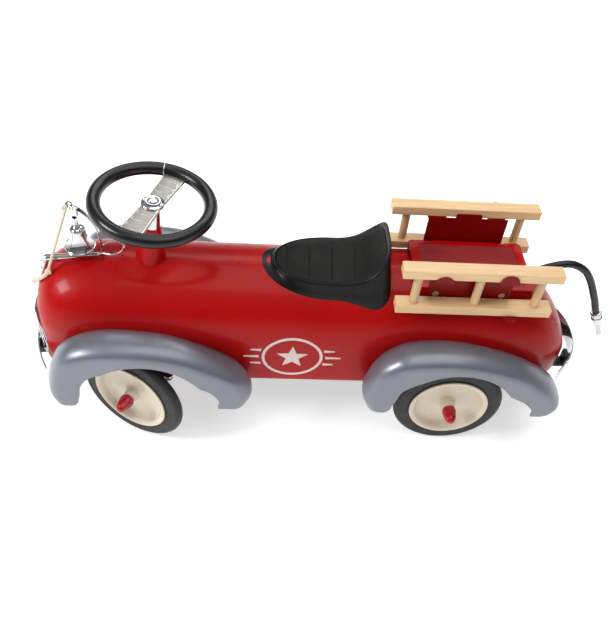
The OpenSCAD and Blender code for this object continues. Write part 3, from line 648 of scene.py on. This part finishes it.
def make_grille():
    """A convex chrome shield with a raised border and upright bars."""
    parts = []
    rows = [101 + 70 * k / 24 for k in range(25)]

    def width(z):
        return 56 * math.sqrt(1 - ((z - 128) / 62) ** 2) + 3

    def face(y_part, z, lift):
        y = width(z) * y_part
        return [nose_x(abs(y)) + 3.0 * (1 - y_part ** 2) + 0.8 + lift, y, z]

    cols = [k / 24 for k in range(-24, 25)]
    outer = [[face(c, z, 0) for c in cols] for z in rows]
    inner = [[[p[0] - 1.2, p[1], p[2]] for p in row] for row in outer]
    rings = [o + list(reversed(i)) for o, i in zip(outer, inner)]
    parts.append(loft("grille_plate", rings, angle=50))
    for k in range(-5, 6):
        bar = [face(k / 6, z, 0.2) for z in rows]
        parts.append(tube("grille_bar", bar, 1.1, 8, (0, 1, 0)))
    for edge in (-1, 1):
        parts.append(tube("grille_edge", [face(edge * 0.985, z, 0.3) for z in rows], 1.5, 8, (0, 1, 0)))
    for z in (rows[0] + 1, rows[-1] - 1):
        parts.append(tube("grille_end", [face(c, z, 0.2) for c in cols], 1.4, 8, (0, 0, 1)))
    dress(joined("grille_shield", parts), CHROME, "body", "chrome", "grille")


BUMPER_REACH, REAR_BEND, REAR_BUMPER_Z = 406, 47, 112


def bumper_x(y, bend):
    return BUMPER_REACH - bend * (abs(y) / 88) ** 2.3


def bumper_ring(y, sgn, bend, half, z0):
    x = bumper_x(y, bend)
    h = 13 - 4 * (abs(y) / half) ** 6
    ring = [[sgn * (x - 5 + 5 * math.cos(math.radians(a))), y, z0 + h * math.sin(math.radians(a))]
            for a in range(-90, 91, 9)]
    ring += [[sgn * (x - 5), y, z0 + h * k / 4] for k in (3, 2, 1, 0, -1, -2, -3)]
    return ring


def make_bumper(name, sgn, bend, half, z0):
    ys = [half * math.sin(math.radians(a)) for a in range(-90, 91, 4)]
    bar = loft(name + "_bar", [bumper_ring(y, sgn, bend, half, z0) for y in ys], angle=50)
    bevel(bar, 0.8, 2, 60)
    dress(bar, CHROME, "body", "chrome", name)


def make_overriders():
    """A band wrapped round the rear bumper on each side."""
    parts = []
    for s in (-1, 1):
        rings = []
        for k in range(9):
            t = (k - 4) / 4
            y = s * 61 + 5 * t
            x = bumper_x(y, REAR_BEND) - 5
            swell = math.sqrt(max(0, 1 - (abs(t) ** 4)))
            ring = []
            for angles, rx, rz in ((range(-90, 91, 9), 5.1 + 1.5 * swell, 13.1 + 1.7 * swell),
                                   (range(90, -91, -9), 5.05, 13.05)):
                for a in angles:
                    z = REAR_BUMPER_Z + rz * math.sin(math.radians(a))
                    ring.append([-(x + rx * math.cos(math.radians(a))), y, z])
            rings.append(ring)
        parts.append(loft("band", rings, angle=50))
    dress(joined("rear_bumper_bands", parts), CHROME, "body", "chrome", "bumper_overriders")


make_grille()
make_bumper("front_bumper", 1, 21, 98, 105)
make_bumper("rear_bumper", -1, REAR_BEND, 82, REAR_BUMPER_Z)
make_overriders()


# ---------- Seat ----------

SEAT_X, SEAT_FRONT, SEAT_REAR, SEAT_Z, SEAT_RISE, SEAT_CROWN = -18, 87, 72, 250, 54, 10


def signed_power(c, e):
    return math.copysign(abs(c) ** e, c)


def seat_xy(a, g):
    c, s = math.cos(a), math.sin(a)
    e = 2 / 2.2 if c > 0 else 0.5
    reach = SEAT_FRONT + g if c > 0 else SEAT_REAR + g * 0.6
    w = 50 + 4 * min(1, max(0, -c) * 2) + g * 0.8
    return SEAT_X + reach * signed_power(c, e), w * signed_power(s, e)


def rim_rise(x):
    return SEAT_RISE * min(1, max(0, (SEAT_X - x) / SEAT_REAR)) ** 3


def skirt(a, g):
    c, s = math.cos(a), math.sin(a)
    return g * (0.7 + 0.6 * max(0, c) ** 2 + 2.6 * max(0, -c) * abs(s))


# Where the pad is pressed in across its width, and how much of the seat's outline it covers
GROOVES = (48, 17, -15, -46)
PAD_PART = 0.935
# The shell's crest: part of the outline, and height over the pad's surface
CREST = ((0.995, -1.5), (0.975, 0.2), (0.955, 0.4), (0.945, 0), (0.938, -1.2), (0.93, -4), (0.92, -7))


def seat_top(x, f):
    return SEAT_Z + SEAT_CROWN * (1 - f ** 2.5) + rim_rise(x)


def make_skirt():
    """The seat's moulded shell: up from the hood, over a round crest and down into the pad's seam."""
    rings = []
    for k in range(180):
        a = 2 * math.pi * (k + 0.5) / 180
        rim_x = seat_xy(a, 0)[0]
        rim = SEAT_Z + rim_rise(rim_x)
        low = body_z(*seat_xy(a, skirt(a, 10))) + 0.3
        line = []
        for g, t in ((10, 0), (7.2, 0.3), (4, 0.58), (1.6, 0.84)):
            line.append([*seat_xy(a, skirt(a, g)), mix(low, rim - 2.4, t)])
        rim_x, rim_y = seat_xy(a, 0)
        for f, dz in CREST:
            x = SEAT_X + (rim_x - SEAT_X) * f
            line.append([x, rim_y * f, seat_top(x, f) + dz])
        rings.append(smooth_path(line, 4))
    faces = grid_faces(len(rings), len(rings[0]), wrap_rows=True)
    shell = new_object("seat_skirt", [p for r in rings for p in r], faces, angle=80)
    dress(shell, SKIRT_BLACK, "body", "seat_vinyl", "seat")


def make_pad():
    """A crowned pad with a rolled edge and four pressed lines across it."""
    stations = [math.sin(math.radians(a)) for a in [-89.7 + 89.7 * k / 170 for k in range(170)]]
    stations += [math.sin(math.radians(89.7 * k / 210)) for k in range(211)]
    rings = []
    for xi in stations:
        power = 2.2 if xi > 0 else 4
        reach = (SEAT_FRONT if xi > 0 else SEAT_REAR) * PAD_PART
        wide = (50 + 4 * min(1, max(0, -xi) * 2)) * PAD_PART
        x = SEAT_X + reach * xi
        side = wide * (1 - abs(xi) ** power) ** (1 / power)
        top, under = [], []
        for k in range(57):
            v = math.sin(math.radians(-90 + 180 * k / 56))
            y = side * v
            fill = (abs(xi) ** power + abs(v) ** power * (1 - abs(xi) ** power)) ** (1 / power)
            edge = min(1, (1 - fill) * PAD_PART / 0.03)
            z = seat_top(x, fill * PAD_PART) - 1.4 * (1 - math.sqrt(1 - (1 - edge) ** 2))
            line = sum(math.exp(-((x - g - 0.05 * y) / 0.95) ** 2) for g in GROOVES)
            z -= 1.1 * line * (1 - fill ** 14)
            top.append([x, y, z])
            under.append([x, y, min(z - 0.3, seat_top(x, PAD_PART) - 6)])
        rings.append(top + list(reversed(under)))
    pad = loft("seat_pad", rings, angle=70)
    dress(pad, PAD_BLACK, "body", "seat_vinyl", "seat")


make_skirt()
make_pad()


# ---------- Steering ----------

HUB_X, HUB_Z = 225.9, 338.8
LEAN = math.radians(5)
STEER = math.radians(27)
RIM_R, RIM_THICK_R = 74.5, 9
BAND_ANGLE = 264


def about_column(x, y, z):
    c, s = math.cos(LEAN), math.sin(LEAN)
    return [HUB_X + x * c - z * s, y, HUB_Z + x * s + z * c]


def make_rim():
    rim = revolve("steering_rim", circle(40, RIM_THICK_R, RIM_R), about_column, 160)
    dress(rim, RIM_BLACK, "steering", "black_rim", "steering_wheel_rim")
    # A thin bright band covers the joint in the rim
    rings = []
    for da, lift in ((-0.5, 0), (-0.4, 0.25), (0.4, 0.25), (0.5, 0)):
        a = math.radians(BAND_ANGLE + da)
        section = circle(40, RIM_THICK_R + lift, RIM_R)
        rings.append([about_column(r * math.cos(a), r * math.sin(a), z) for r, z in section])
    dress(loft("rim_band", rings, angle=50), BAND_AND_HIGHLIGHT_METAL, "steering", "black_rim", "steering_wheel_rim")


def make_spoke():
    """A stamped plate, flared to its ends, with raised edges and three raised brackets a side."""
    c, s = math.cos(math.radians(70)), math.sin(math.radians(70))

    def at(x, y, z):
        return about_column(x * c - y * s, x * s + y * c, z)

    reach = 66.8

    def half(x):
        return 13 + 3 * abs(x) / reach

    xs = [reach * k / 24 for k in range(-24, 25)]
    rings = []
    for x in xs:
        h = half(x)
        flat = [(-h, -4.0), (-h + 0.5, -1.9), (-h + 1.6, -1.4), (h - 1.6, -1.4), (h - 0.5, -1.9), (h, -4.0),
                (h - 1.2, -4.4), (1.2 - h, -4.4)]
        rings.append([at(x, y, z) for y, z in flat])
    plate = loft("spoke_plate", rings, angle=50)
    dress(plate, SPOKE, "steering", "brushed_spoke", "steering_spoke")
    # The raised edges and brackets are beads in near-white metal, far brighter than the plate: a painted
    # highlight on the raised lines
    lines = []
    for end in (-1, 1):
        lines.append(tube("edge_line", [at(x, end * (half(x) - 1.7), -1.35) for x in xs], 0.75, 8, (0, 0, 1)))
        for k in range(3):
            x0 = 26 + 13.4 * k
            w = half(x0) - 4.4
            bracket = [(x0 - 5.5, -w), (x0 - 1, -w), (x0, -w + 1), (x0, w - 3), (x0 - 0.3, w)]
            path = smooth_path([[end * x, end * y, -1.35] for x, y in bracket], 4)
            lines.append(tube("bracket_line", [at(*p) for p in path], 0.55, 8, (0, 0, 1)))
    dress(joined("spoke_lines", lines), BAND_AND_HIGHLIGHT_METAL, "steering", "brushed_spoke", "steering_spoke")


def make_hub():
    washer = [(0, -1.4), (15.4, -1.4), (15.4, 0.2), (14.6, 1.2), (13, 1.7), (12, 1.2), (11, 1.5), (10.6, 3.2),
              (9.6, 4.5), (8, 4.6), (6.6, 4.0), (5.4, 2.7), (3, 2.4), (0, 2.4)]
    cap = revolve("hub_washer", washer, about_column, 96, closed=False, angle=40)
    dress(cap, CHROME, "steering", "chrome", "steering_hub_nut")
    corners = [math.radians(60 * k + 15) for k in range(6)]
    nut = [[about_column(r * math.cos(a), r * math.sin(a), z) for a in corners]
           for z, r in ((2.4, 4.6), (4.2, 4.6), (4.55, 4.1))]
    dress(loft("hub_nut", nut, smooth=False), CHROME, "steering", "chrome", "steering_hub_nut")


def make_housing():
    outer = [(21.2, -100), (21.2, -96), (20.2, -91), (18.9, -84), (17.2, -72), (15.2, -58), (13.4, -46),
             (12.6, -40), (12.3, -38.4), (11.8, -37.3), (11.2, -37), (8.1, -37), (8.1, -50), (19.2, -96),
             (19.2, -100)]
    housing = revolve("column_cone", outer, about_column, 96, angle=40)
    dress(housing, RED, "body", "red_paint", "column_housing")


make_rim()
make_spoke()
make_hub()
make_housing()


# ---------- Wheels ----------

TYRE_W = 16
RIM_MID = 121 - TYRE_W / 2
KINGPIN_Y = 71


def rounded(points, r, steps=4, closed=True):
    """A profile with its corners rounded by at most r."""
    out = []
    n = len(points)
    for i, p in enumerate(points):
        if not closed and i in (0, n - 1):
            out.append(p)
            continue
        a, b = points[i - 1], points[(i + 1) % n]
        da = min(r, math.dist(p, a) * 0.45)
        db = min(r, math.dist(p, b) * 0.45)
        s = [mix(p[c], a[c], da / math.dist(p, a)) for c in (0, 1)]
        e = [mix(p[c], b[c], db / math.dist(p, b)) for c in (0, 1)]
        for k in range(steps + 1):
            t = k / steps
            out.append([(1 - t) ** 2 * s[c] + 2 * t * (1 - t) * p[c] + t * t * e[c] for c in (0, 1)])
    return out


def make_wheel(name, x0, side, kingpin):
    steer = STEER if kingpin else 0
    base_y = KINGPIN_Y if kingpin else 0
    lateral = RIM_MID - base_y

    def at(px, pz, h):
        # Along the heading, outboard and up from the wheel's middle
        out = (lateral + h) * side
        return [x0 + px * math.cos(steer) + out * math.sin(steer),
                side * base_y - px * math.sin(steer) + out * math.cos(steer), WHEEL_R + pz]

    h, w = TYRE_W / 2, WHEEL_R
    tyre = [[52.5, -h], [w - 8, -h], [w - 4, 1 - h], [w - 1.5, 3 - h], [w, 6 - h],
            [w, h - 6], [w - 1.5, h - 3], [w - 4, h - 1], [w - 8, h], [w - 9.5, h - 0.45],
            [w - 10.5, h - 0.45], [w - 12, h], [60, h], [57.9, h - 0.4], [52.5, h - 0.4]]
    body = name
    tread = revolve(name + "_rubber", rounded(tyre, 1.2, 3), at, 160, angle=50)
    dress(tread, TYRE, body, "tyre_rubber", name.replace("_wheel", "_tyre"))
    disc = [[5.05, -14], [11, -14], [11, h - 12], [44, h - 12], [48, h - 14], [50, -h], [52.5, -h],
            [52.5, h], [57.8, h], [57.8, h + 2.2], [56.6, h + 3], [54, h + 3], [51, h + 1], [47.5, h - 6],
            [43, h - 9], [14, h - 9], [11, h - 6], [9.6, h + 3.9], [5.05, h + 3.9]]
    pan = revolve(name + "_pan", rounded(disc, 1.6, 5), at, 160, angle=50)
    dress(pan, CREAM, body, "cream_paint", name + "_disc")
    # The cap: a dome with six shallow flutes
    cap = [[0, h + 7.2], [5.3, h + 7.2], [5.3, h + 4.3], [8.6, h + 4.3], [9.9, h + 6], [10.2, h + 9.5],
           [9.4, h + 14], [8.3, h + 20], [6.8, h + 25], [4.4, h + 28], [2, h + 28.9], [0, h + 29]]
    profile = rounded(cap, 1.5, 3, closed=False)
    points = []
    steps = 72
    for k in range(steps):
        a = 2 * math.pi * k / steps
        for r, z in profile:
            lift = max(0, min(1, (z - h - 8) / 4))
            r *= 1 - 0.07 * lift * abs(math.cos(3 * a)) ** 3
            points.append(at(r * math.cos(a), r * math.sin(a), z))
    knob = new_object(name + "_knob", points, grid_faces(steps, len(profile), wrap_rows=True), angle=50)
    dress(knob, CAP_RED, body, "red_paint", name.replace("_wheel", "_hub_cap"))


for label, side in (("left", 1), ("right", -1)):
    make_wheel("front_" + label + "_wheel", FRONT_X, side, True)
    make_wheel("rear_" + label + "_wheel", REAR_X, side, False)


# ---------- Ladders ----------

LADDER_X, LADDER_Y, LADDER_TOP, LADDER_LEN, LADDER_DROP = -207.4, 76.6, 306.4, 216, 63.5
RAIL_W, RAIL_H = 21, 14.5
RUNG_R, RUNG_SINK = 6, 6


def make_ladder(label, s):
    x0, x1 = LADDER_X - LADDER_LEN / 2, LADDER_X + LADDER_LEN / 2
    y0, y1 = sorted((s * (LADDER_Y - RAIL_W), s * LADDER_Y))
    rails = []
    for drop in (0, LADDER_DROP):
        z1 = LADDER_TOP - drop
        rails.append(bevel(block("rail", (x0, y0, z1 - RAIL_H), (x1, y1, z1)), 1.6, 4))
    body = label + "_ladder"
    dress(joined(body + "_beech_rails", rails), BEECH_X, body, "beech", body + "_rails")
    rungs = []
    for dx in (-84, 0, 84):
        x, y = LADDER_X + dx, s * (LADDER_Y - RAIL_W / 2)
        low, high = LADDER_TOP - LADDER_DROP - RUNG_SINK, LADDER_TOP - RAIL_H + RUNG_SINK
        rungs.append(rod("rung", (x, y, low), (x, y, high), RUNG_R))
    dress(joined(body + "_beech_rungs", rungs), BEECH_Z, body, "beech", body + "_rungs")


make_ladder("left", 1)
make_ladder("right", -1)


# ---------- Hose box ----------

def rounded_plate(name, lo, hi, radius, z0, z1, corner_steps=8):
    """A flat plate with round corners, from z0 up to z1."""
    ring = []
    for cx, cy, a0 in ((hi[0], hi[1], 0), (lo[0], hi[1], 90), (lo[0], lo[1], 180), (hi[0], lo[1], 270)):
        ox = cx - math.copysign(radius, cx - (lo[0] + hi[0]) / 2)
        oy = cy - math.copysign(radius, cy - (lo[1] + hi[1]) / 2)
        for k in range(corner_steps + 1):
            a = math.radians(a0 + 90 * k / corner_steps)
            ring.append((ox + radius * math.cos(a), oy + radius * math.sin(a)))
    return loft(name, [[[x, y, z] for x, y in ring] for z in (z0, z1)], smooth=True, angle=40)


def make_lid():
    x0, x1 = BOX_X - BOX_LEN / 2 - 3, BOX_X + BOX_LEN / 2 + 3
    z0 = BOX_TOP + FIT
    lid = rounded_plate("box_lid_plate", (x0, -49), (x1, 49), 5, z0, z0 + 4.5)
    tools = []
    for lug_x in (BOX_X - 55, BOX_X + 55):
        tools.append(block("tool", (lug_x - 5.4, -52, z0 - 2), (lug_x + 5.4, -42.4, z0 + 8)))
    tools.append(rounded_plate("tool", (x0 + 12, -42), (x1 - 12, 42), 2, z0 + 3.9, z0 + 9))
    cut(lid, *tools)
    bevel(lid, 0.8, 3, 40)
    dress(lid, RED, "lid", "red_paint", "box_lid")
    planks = []
    for k in range(-2, 3):
        y = 16.5 * k
        plank = block("plank", (x0 + 13, y - 7.95, z0 + 3.4), (x1 - 13, y + 7.95, z0 + 4.1))
        planks.append(bevel(plank, 0.3, 2))
    dress(joined("box_lid_panel", planks), PANEL_RED, "lid", "red_paint", "box_lid")


make_lid()


# ---------- Badge ----------

BADGE_X, BADGE_Z = 34.5, 140.3
PRINT_LOW, PRINT_TOP = 0.05, 0.6


def make_badges():
    """An oval ring round a plain star, with three bars on each side."""
    def flat(points, s, lift):
        x0, z0 = BADGE_X, BADGE_Z
        return [[x0 + x, s * (body_y(x0 + x, z0 + z) + lift), z0 + z] for x, z in points]

    def strip(inner, outer, s):
        rings = []
        for a, b in zip(inner, outer):
            rings.append(flat([a, b], s, PRINT_TOP) + flat([b, a], s, PRINT_LOW))
        return rings

    parts = []
    for s in (-1, 1):
        ring = []
        for k in range(97):
            a = 2 * math.pi * k / 96
            ring.append(((39.2 * math.cos(a), 35 * math.sin(a)), (43.3 * math.cos(a), 39 * math.sin(a))))
        parts.append(loft("ring", strip([r[0] for r in ring], [r[1] for r in ring], s), caps=False, angle=50))
        star = [(r * math.sin(math.pi * k / 5), r * math.cos(math.pi * k / 5))
                for k in range(10) for r in ((23, 9.5)[k % 2],)]
        parts.append(loft("star", [flat(star, s, PRINT_LOW), flat(star, s, PRINT_TOP)], smooth=False))
        for d in (-1, 1):
            for z, length in ((14, 15), (0, 22), (-14, 15)):
                start = 43.3 * math.sqrt(1 - (z / 39) ** 2) + 4
                bar = [(d * start, z - 2.2), (d * (start + length), z - 1), (d * (start + length), z + 1),
                       (d * start, z + 2.2)]
                parts.append(loft("bar", [flat(bar, s, PRINT_LOW), flat(bar, s, PRINT_TOP)], smooth=False))
    dress(joined("side_badges", parts), WHITE_PRINT, "body", "emblem_print", "side_emblems")


make_badges()


# ---------- Bell ----------

BELL_X, BELL_MOUTH, PIN_Z = 328, 260, 311


def make_bell():
    def up(x, y, z):
        return [BELL_X + x, y, BELL_MOUTH + z]

    profile = [(0, 34), (3, 34), (5, 33.7), (7.2, 33), (9, 31.8), (9.8, 30.4), (10, 28.8), (10.25, 25),
               (10.6, 21.5), (11.2, 17.8), (12, 14.6), (13.1, 11.2), (14.6, 8.1), (16.5, 5.3), (18.4, 3),
               (19.8, 1.5), (21, 0.3), (20.8, 0), (19.5, 0), (18.2, 1.4), (16.6, 2.9), (14.7, 5.2),
               (12.9, 7.9), (11.5, 11.2), (10.4, 14.8), (9.6, 18.5), (9, 22), (8.4, 27.8), (7.6, 30.4),
               (4.4, 32), (0, 32.3)]
    parts = [revolve("bell_cup", profile, up, 96, closed=False, angle=45)]
    for radius, height, thick in ((20.2, 1.5, 0.8), (9.4, 29.6, 1.0)):
        parts.append(revolve("bell_bead", circle(12, thick, radius, height), up, 96))
    neck = [(0, 33), (4.6, 33.6), (5, 35), (3.6, 36.4), (2.4, 37.4), (2.2, 39), (3.4, 40.4), (3.6, 42),
            (2.6, 43.6), (2.3, 46), (2.4, 48.5), (0, 48.5)]
    parts.append(revolve("bell_neck", neck, up, 48, closed=False, angle=45))

    eye = [(1.55, -2.2), (2.9, -2.2), (3.2, -1.8), (3.2, 1.8), (2.9, 2.2), (1.55, 2.2)]
    parts.append(revolve("bell_eye", eye, lambda x, y, h: [BELL_X + x, h, PIN_Z + y], 48))
    dress(joined("bell_casting", parts), CHROME, "bell", "chrome", "bell")


def capsule(a, b, ra, rb, name):
    """A bar with round ends that tapers from ra to rb."""
    t = unit([q - p for p, q in zip(a, b)])
    turns = [math.radians(15 * k) for k in range(7)]
    path = [[p - c * ra * math.cos(turn) for p, c in zip(a, t)] for turn in turns]
    path += [[p + c * rb * math.sin(turn) for p, c in zip(b, t)] for turn in turns]
    radii = [max(0.05, ra * math.sin(turn)) for turn in turns]
    radii += [max(0.05, rb * math.cos(turn)) for turn in turns]
    rings = tube_rings(path, 1, 32)
    for ring, centre, r in zip(rings, path, radii):
        for p in ring:
            for c in range(3):
                p[c] = centre[c] + (p[c] - centre[c]) * r
    return loft(name, rings, angle=60)


STAND_REAR, STAND_FRONT, STAND_FOOT = (306, 0, 244), (376, 0, 236), (384.5, 0, 210.5)
HANGER_PATH = [[300, 0, 248], [300, 0, 272], [302, 0, 290], [309, 0, 307], [320, 0, 321], [333, 0, 328]]
# Half the thickness and half the width of the hanger's strip
STRIP_THICK, STRIP_WIDE = 1.6, 4


def make_bell_stand():
    parts = [capsule(STAND_REAR, STAND_FRONT, 4.2, 5, "stand_bar"),
             capsule(STAND_FRONT, STAND_FOOT, 4.2, 3.4, "stand_leg")]
    # Turned rings round the leg
    for part, radius in ((0.25, 4.4), (0.75, 3.9)):
        ring = [(radius + 0.6 * c, 0.8 * z) for c, z in circle(12, 1)]
        x0, _, z0 = [mix(a, b, part) for a, b in zip(STAND_FRONT, STAND_FOOT)]

        def round_leg(x, y, h):
            return [x0 + x * 0.95 + h * 0.32, y, z0 + x * 0.32 - h * 0.95]

        parts.append(revolve("stand_ring", ring, round_leg, 32))
    dress(joined("bell_stand", parts), CHROME, "body", "chrome", "bell_base")


def make_bell_hanger():
    """A bent strip with an eye for the rope, and two ears with the pin that the bell turns on."""
    path = smooth_path(HANGER_PATH, 8)
    strip = []
    for ring, (cx, _, cz) in zip(tube_rings(path, 1, 20), path):
        strip.append([[cx + (x - cx) * STRIP_THICK, y * STRIP_WIDE, cz + (z - cz) * STRIP_THICK]
                      for x, y, z in ring])
    parts = [loft("hanger_strip", strip, angle=60)]
    eye = [(3, -4), (5.6, -4), (6, -3.4), (6, 3.4), (5.6, 4), (3, 4)]
    parts.append(revolve("hanger_eye", eye, lambda x, y, h: [334 + x, h, 327 + y], 48, angle=45))
    for y in (-3.5, 3.5):
        ear = block("hanger_ear", (BELL_X - 3.6, y - 1, PIN_Z), (BELL_X + 3.6, y + 1, PIN_Z + 15))
        parts.append(bevel(ear, 0.4, 2))
        parts.append(rod("hanger_ear_end", (BELL_X, y - 1, PIN_Z), (BELL_X, y + 1, PIN_Z), 4))
    parts.append(rod("hanger_pin", (BELL_X, -4.5, PIN_Z), (BELL_X, 4.5, PIN_Z), 1.5, 24))
    dress(joined("bell_bracket", parts), CHROME, "body", "chrome", "bell_hanger")
    loop = smooth_path([[303, -7, 252], [296, -12, 255], [284, -13, 258], [274, -9, 259], [270, 0, 260],
                        [274, 9, 259], [284, 12, 257], [296, 8, 255], [303, 6, 252]], 8)
    dress(tube("stand_wire", loop, 1.3, 14, (0, 0, 1)), CHROME, "body", "chrome", "bell_wire_loop")


make_bell()
make_bell_stand()
make_bell_hanger()


# ---------- Hose and rope ----------

HOSE_ROUTE = [
    [-297, 0, 239], [-306, 0, 243], [-315, 0, 248], [-325, 0, 253], [-335, 0, 257], [-345, 0, 260],
    [-355, 0, 261], [-365, 0, 259], [-375, 0, 254], [-384, 0, 247], [-392, 0, 237], [-399, 0, 226],
    [-406, 0, 213], [-412, 0, 201], [-418, 0, 189], [-423, 0, 177], [-428, 0, 166]
]
ROPE_ROUTE = [
    [337, 7, 327], [340.9, 8.7, 316], [344.8, 10.4, 305], [348.7, 12.1, 294], [352.6, 13.8, 283],
    [356.5, 15.5, 272], [360.4, 17.2, 261], [364.3, 18.9, 250], [368.2, 20.6, 239], [370.2, 22.6, 232]
]
ROPE_TAIL = [
    [370.2, 22.6, 232], [373.8, 23.9, 226.8], [379, 23.4, 221.8], [385.7, 20.4, 214.6], [391.2, 14.8, 207],
    [395, 9.6, 201.4]
]
HOSE_R, ROPE_D, ROPE_LAY = 5.5, 4.4, 11
# Each knot's name, middle and radius
KNOTS = (("top", (337.5, 7, 331), 4.5), ("hood", (370.2, 22.6, 231.4), 4.8), ("end", (396.4, 8, 199.6), 4.2))


def path_length(path):
    return sum(math.dist(a, b) for a, b in zip(path, path[1:])) * MM


def make_hose():
    path = smooth_path(HOSE_ROUTE, 6)
    hose = tube("hose_tube", path, HOSE_R, 32)
    end = HOSE_ROUTE[-1]
    d = unit([b - a for a, b in zip(HOSE_ROUTE[-2], end)])

    def along(x, y, h):
        return [end[0] + d[0] * h + x * d[2], y, end[2] + d[2] * h - x * d[0]]

    ferrule = [(5.6, 0), (7.2, 0), (8.2, 0.8), (8.5, 2.2), (8.5, 4.6), (8.0, 5.6), (7.3, 6.2), (7.3, 9.8),
               (8.2, 10.4), (8.7, 11.4), (8.7, 14.4), (8.2, 15.6), (7, 16.8), (0, 17)]
    collar = revolve("hose_collar", ferrule, along, 64, closed=False, angle=45)
    nozzle = [(0, 17), (6.3, 17), (6.6, 17.6), (6.6, 21.4), (6.0, 22.6), (3.5, 47), (3.4, 48), (4.1, 49),
              (4.2, 50.4), (4.2, 52), (3.8, 53), (2.6, 53), (2.2, 52.4), (2.2, 43), (0, 43)]
    spout = revolve("hose_spout", nozzle, along, 64, closed=False, angle=45)
    dress(hose, HOSE_RUBBER, "body", "hose_rubber", "hose")
    dress(collar, CHROME, "body", "chrome", "hose_ferrule")
    dress(spout, CHROME, "body", "chrome", "hose_nozzle")


def knot(name, centre, r):
    """A few turns of rope wound into a ball."""
    cx, cy, cz = centre
    yarn_r = 1.5
    reach = r - yarn_r
    path = []
    for k in range(97):
        a = 2 * math.pi * k / 96
        wind = 3 * a
        out = reach * math.sin(wind)
        path.append([cx + out * math.cos(a), cy + out * math.sin(a), cz + reach * math.cos(wind)])
    strand = tube("strand", path, yarn_r, 10, (0.3, 0.2, 0.9))
    ball = [(0, -r + 1.2), (r - 2, -1.5), (r - 1.2, 0), (r - 2, 1.5), (0, r - 1.2)]
    core = revolve("core", ball, lambda x, y, h: [cx + x, cy + y, cz + h], 24, closed=False)
    return joined(name, [core, strand])


def wound_strand(path, turns, phase, offset, radius, sides=8):
    """One strand that winds round a path."""
    wound = []
    for i, p in enumerate(path):
        t = unit([b - a for a, b in zip(path[max(i - 1, 0)], path[min(i + 1, len(path) - 1)])])
        u = unit(cross(t, (0, 1, 0)))
        v = cross(t, u)
        a = 2 * math.pi * (turns * i / (len(path) - 1) + phase)
        wound.append([p[c] + offset * (math.cos(a) * u[c] + math.sin(a) * v[c]) for c in range(3)])
    return tube("strand", wound, radius, sides)


def make_rope():
    """Three strands laid together, two thicker ones wound round the tail, and the knots."""
    path = smooth_path(ROPE_ROUTE + ROPE_TAIL[1:], 12)
    turns = path_length(path) / MM / ROPE_LAY
    strands = [wound_strand(path, turns, k / 3, 1.15, 1.05) for k in range(3)]
    rope = dress(joined("bell_rope_strands", strands), ROPE, "body", "rope_cotton", "bell_rope")
    tail = smooth_path(ROPE_TAIL, 40)
    strands = [wound_strand(tail, 4.5, k / 2, 1.6, 1.35, 10) for k in range(2)]
    whipping = dress(joined("bell_rope_wrap", strands), ROPE, "body", "rope_cotton", "bell_rope")
    for name, centre, r in KNOTS:
        ball = knot("bell_rope_" + name + "_knot", centre, r)
        dress(ball, ROPE, "body", "rope_cotton", "bell_rope_knots")


make_hose()
make_rope()


# ---------- CAD parts that show as they are ----------

for name in ("floor_pan", "bumper_brackets", "column_bracket", "front_axle_beam", "rear_axle_saddles",
             "left_knuckle", "right_knuckle", "hose_socket"):
    dress_node(name, BLACK_STEEL)
for name in ("kingpins", "rear_axle", "tie_rod", "steering_column", "seat_bolts", "bracket_bolts",
             "lid_hinge_pin", "seat_tie_rod", "bell_clapper"):
    dress_node(name, CHROME)
dress_node("hose_box", RED)
dress_node("ladder_brackets", DARK_RED)


# ---------- Floor and light ----------

FLOOR_HALF = 6000


def grey(level):
    return (level, level, level)


def make_floor():
    half = FLOOR_HALF
    corners = [[-half, -half, 0], [half, -half, 0], [half, half, 0], [-half, half, 0]]
    floor = new_object("floor", corners, [(0, 1, 2, 3)])
    mat, tree, shader = material("floor_paper", grey(0.9), 0.7)
    colour_by(tree, shader, noise(tree, place(tree), 3, 2), (0.3, grey(0.88)), (0.7, grey(0.92)))
    shader.inputs["Emission Color"].default_value = (1, 1, 1, 1)
    shader.inputs["Emission Strength"].default_value = 0.55
    floor.data.materials.append(mat)


def area_light(name, place_at, target, size, power):
    """A rectangular lamp that faces its target; places and sizes are in metres."""
    data = bpy.data.lights.new(name, "AREA")
    data.shape = "RECTANGLE"
    data.size, data.size_y = size
    data.energy = power
    light = bpy.data.objects.new(name, data)
    light.location = place_at
    light.rotation_mode = "QUATERNION"
    light.rotation_quaternion = (Vector(target) - Vector(place_at)).to_track_quat("-Z", "Y")
    bpy.context.collection.objects.link(light)


def make_world():
    """A pale horizon, a darker band above it and a soft bright sky."""
    world = bpy.data.worlds.new("studio")
    bpy.context.scene.world = world
    world.use_nodes = True
    tree = world.node_tree
    coords = tree.nodes.new("ShaderNodeTexCoord")
    split = tree.nodes.new("ShaderNodeSeparateXYZ")
    tree.links.new(coords.outputs["Generated"], split.inputs["Vector"])
    levels = ((0.06, 0.9), (0.2, 0.12), (0.5, 0.2), (0.85, 0.55))
    sky = ramp(tree, split.outputs["Z"], [(at, grey(level)) for at, level in levels])
    tree.links.new(sky, tree.nodes["Background"].inputs["Color"])
    tree.nodes["Background"].inputs["Strength"].default_value = 0.9


make_floor()
area_light("key_light", (1.7, 0.45, 1.35), (0.1, 0, 0.15), (0.65, 0.5), 24)
area_light("back_light", (-0.2, -1.7, 1.9), (0, 0, 0.15), (2.4, 0.6), 14)
area_light("top_light", (-0.4, 0.1, 2.4), (0, 0, 0.1), (2.2, 2.0), 25)
make_world()
bpy.context.scene.view_settings.view_transform = "Standard"
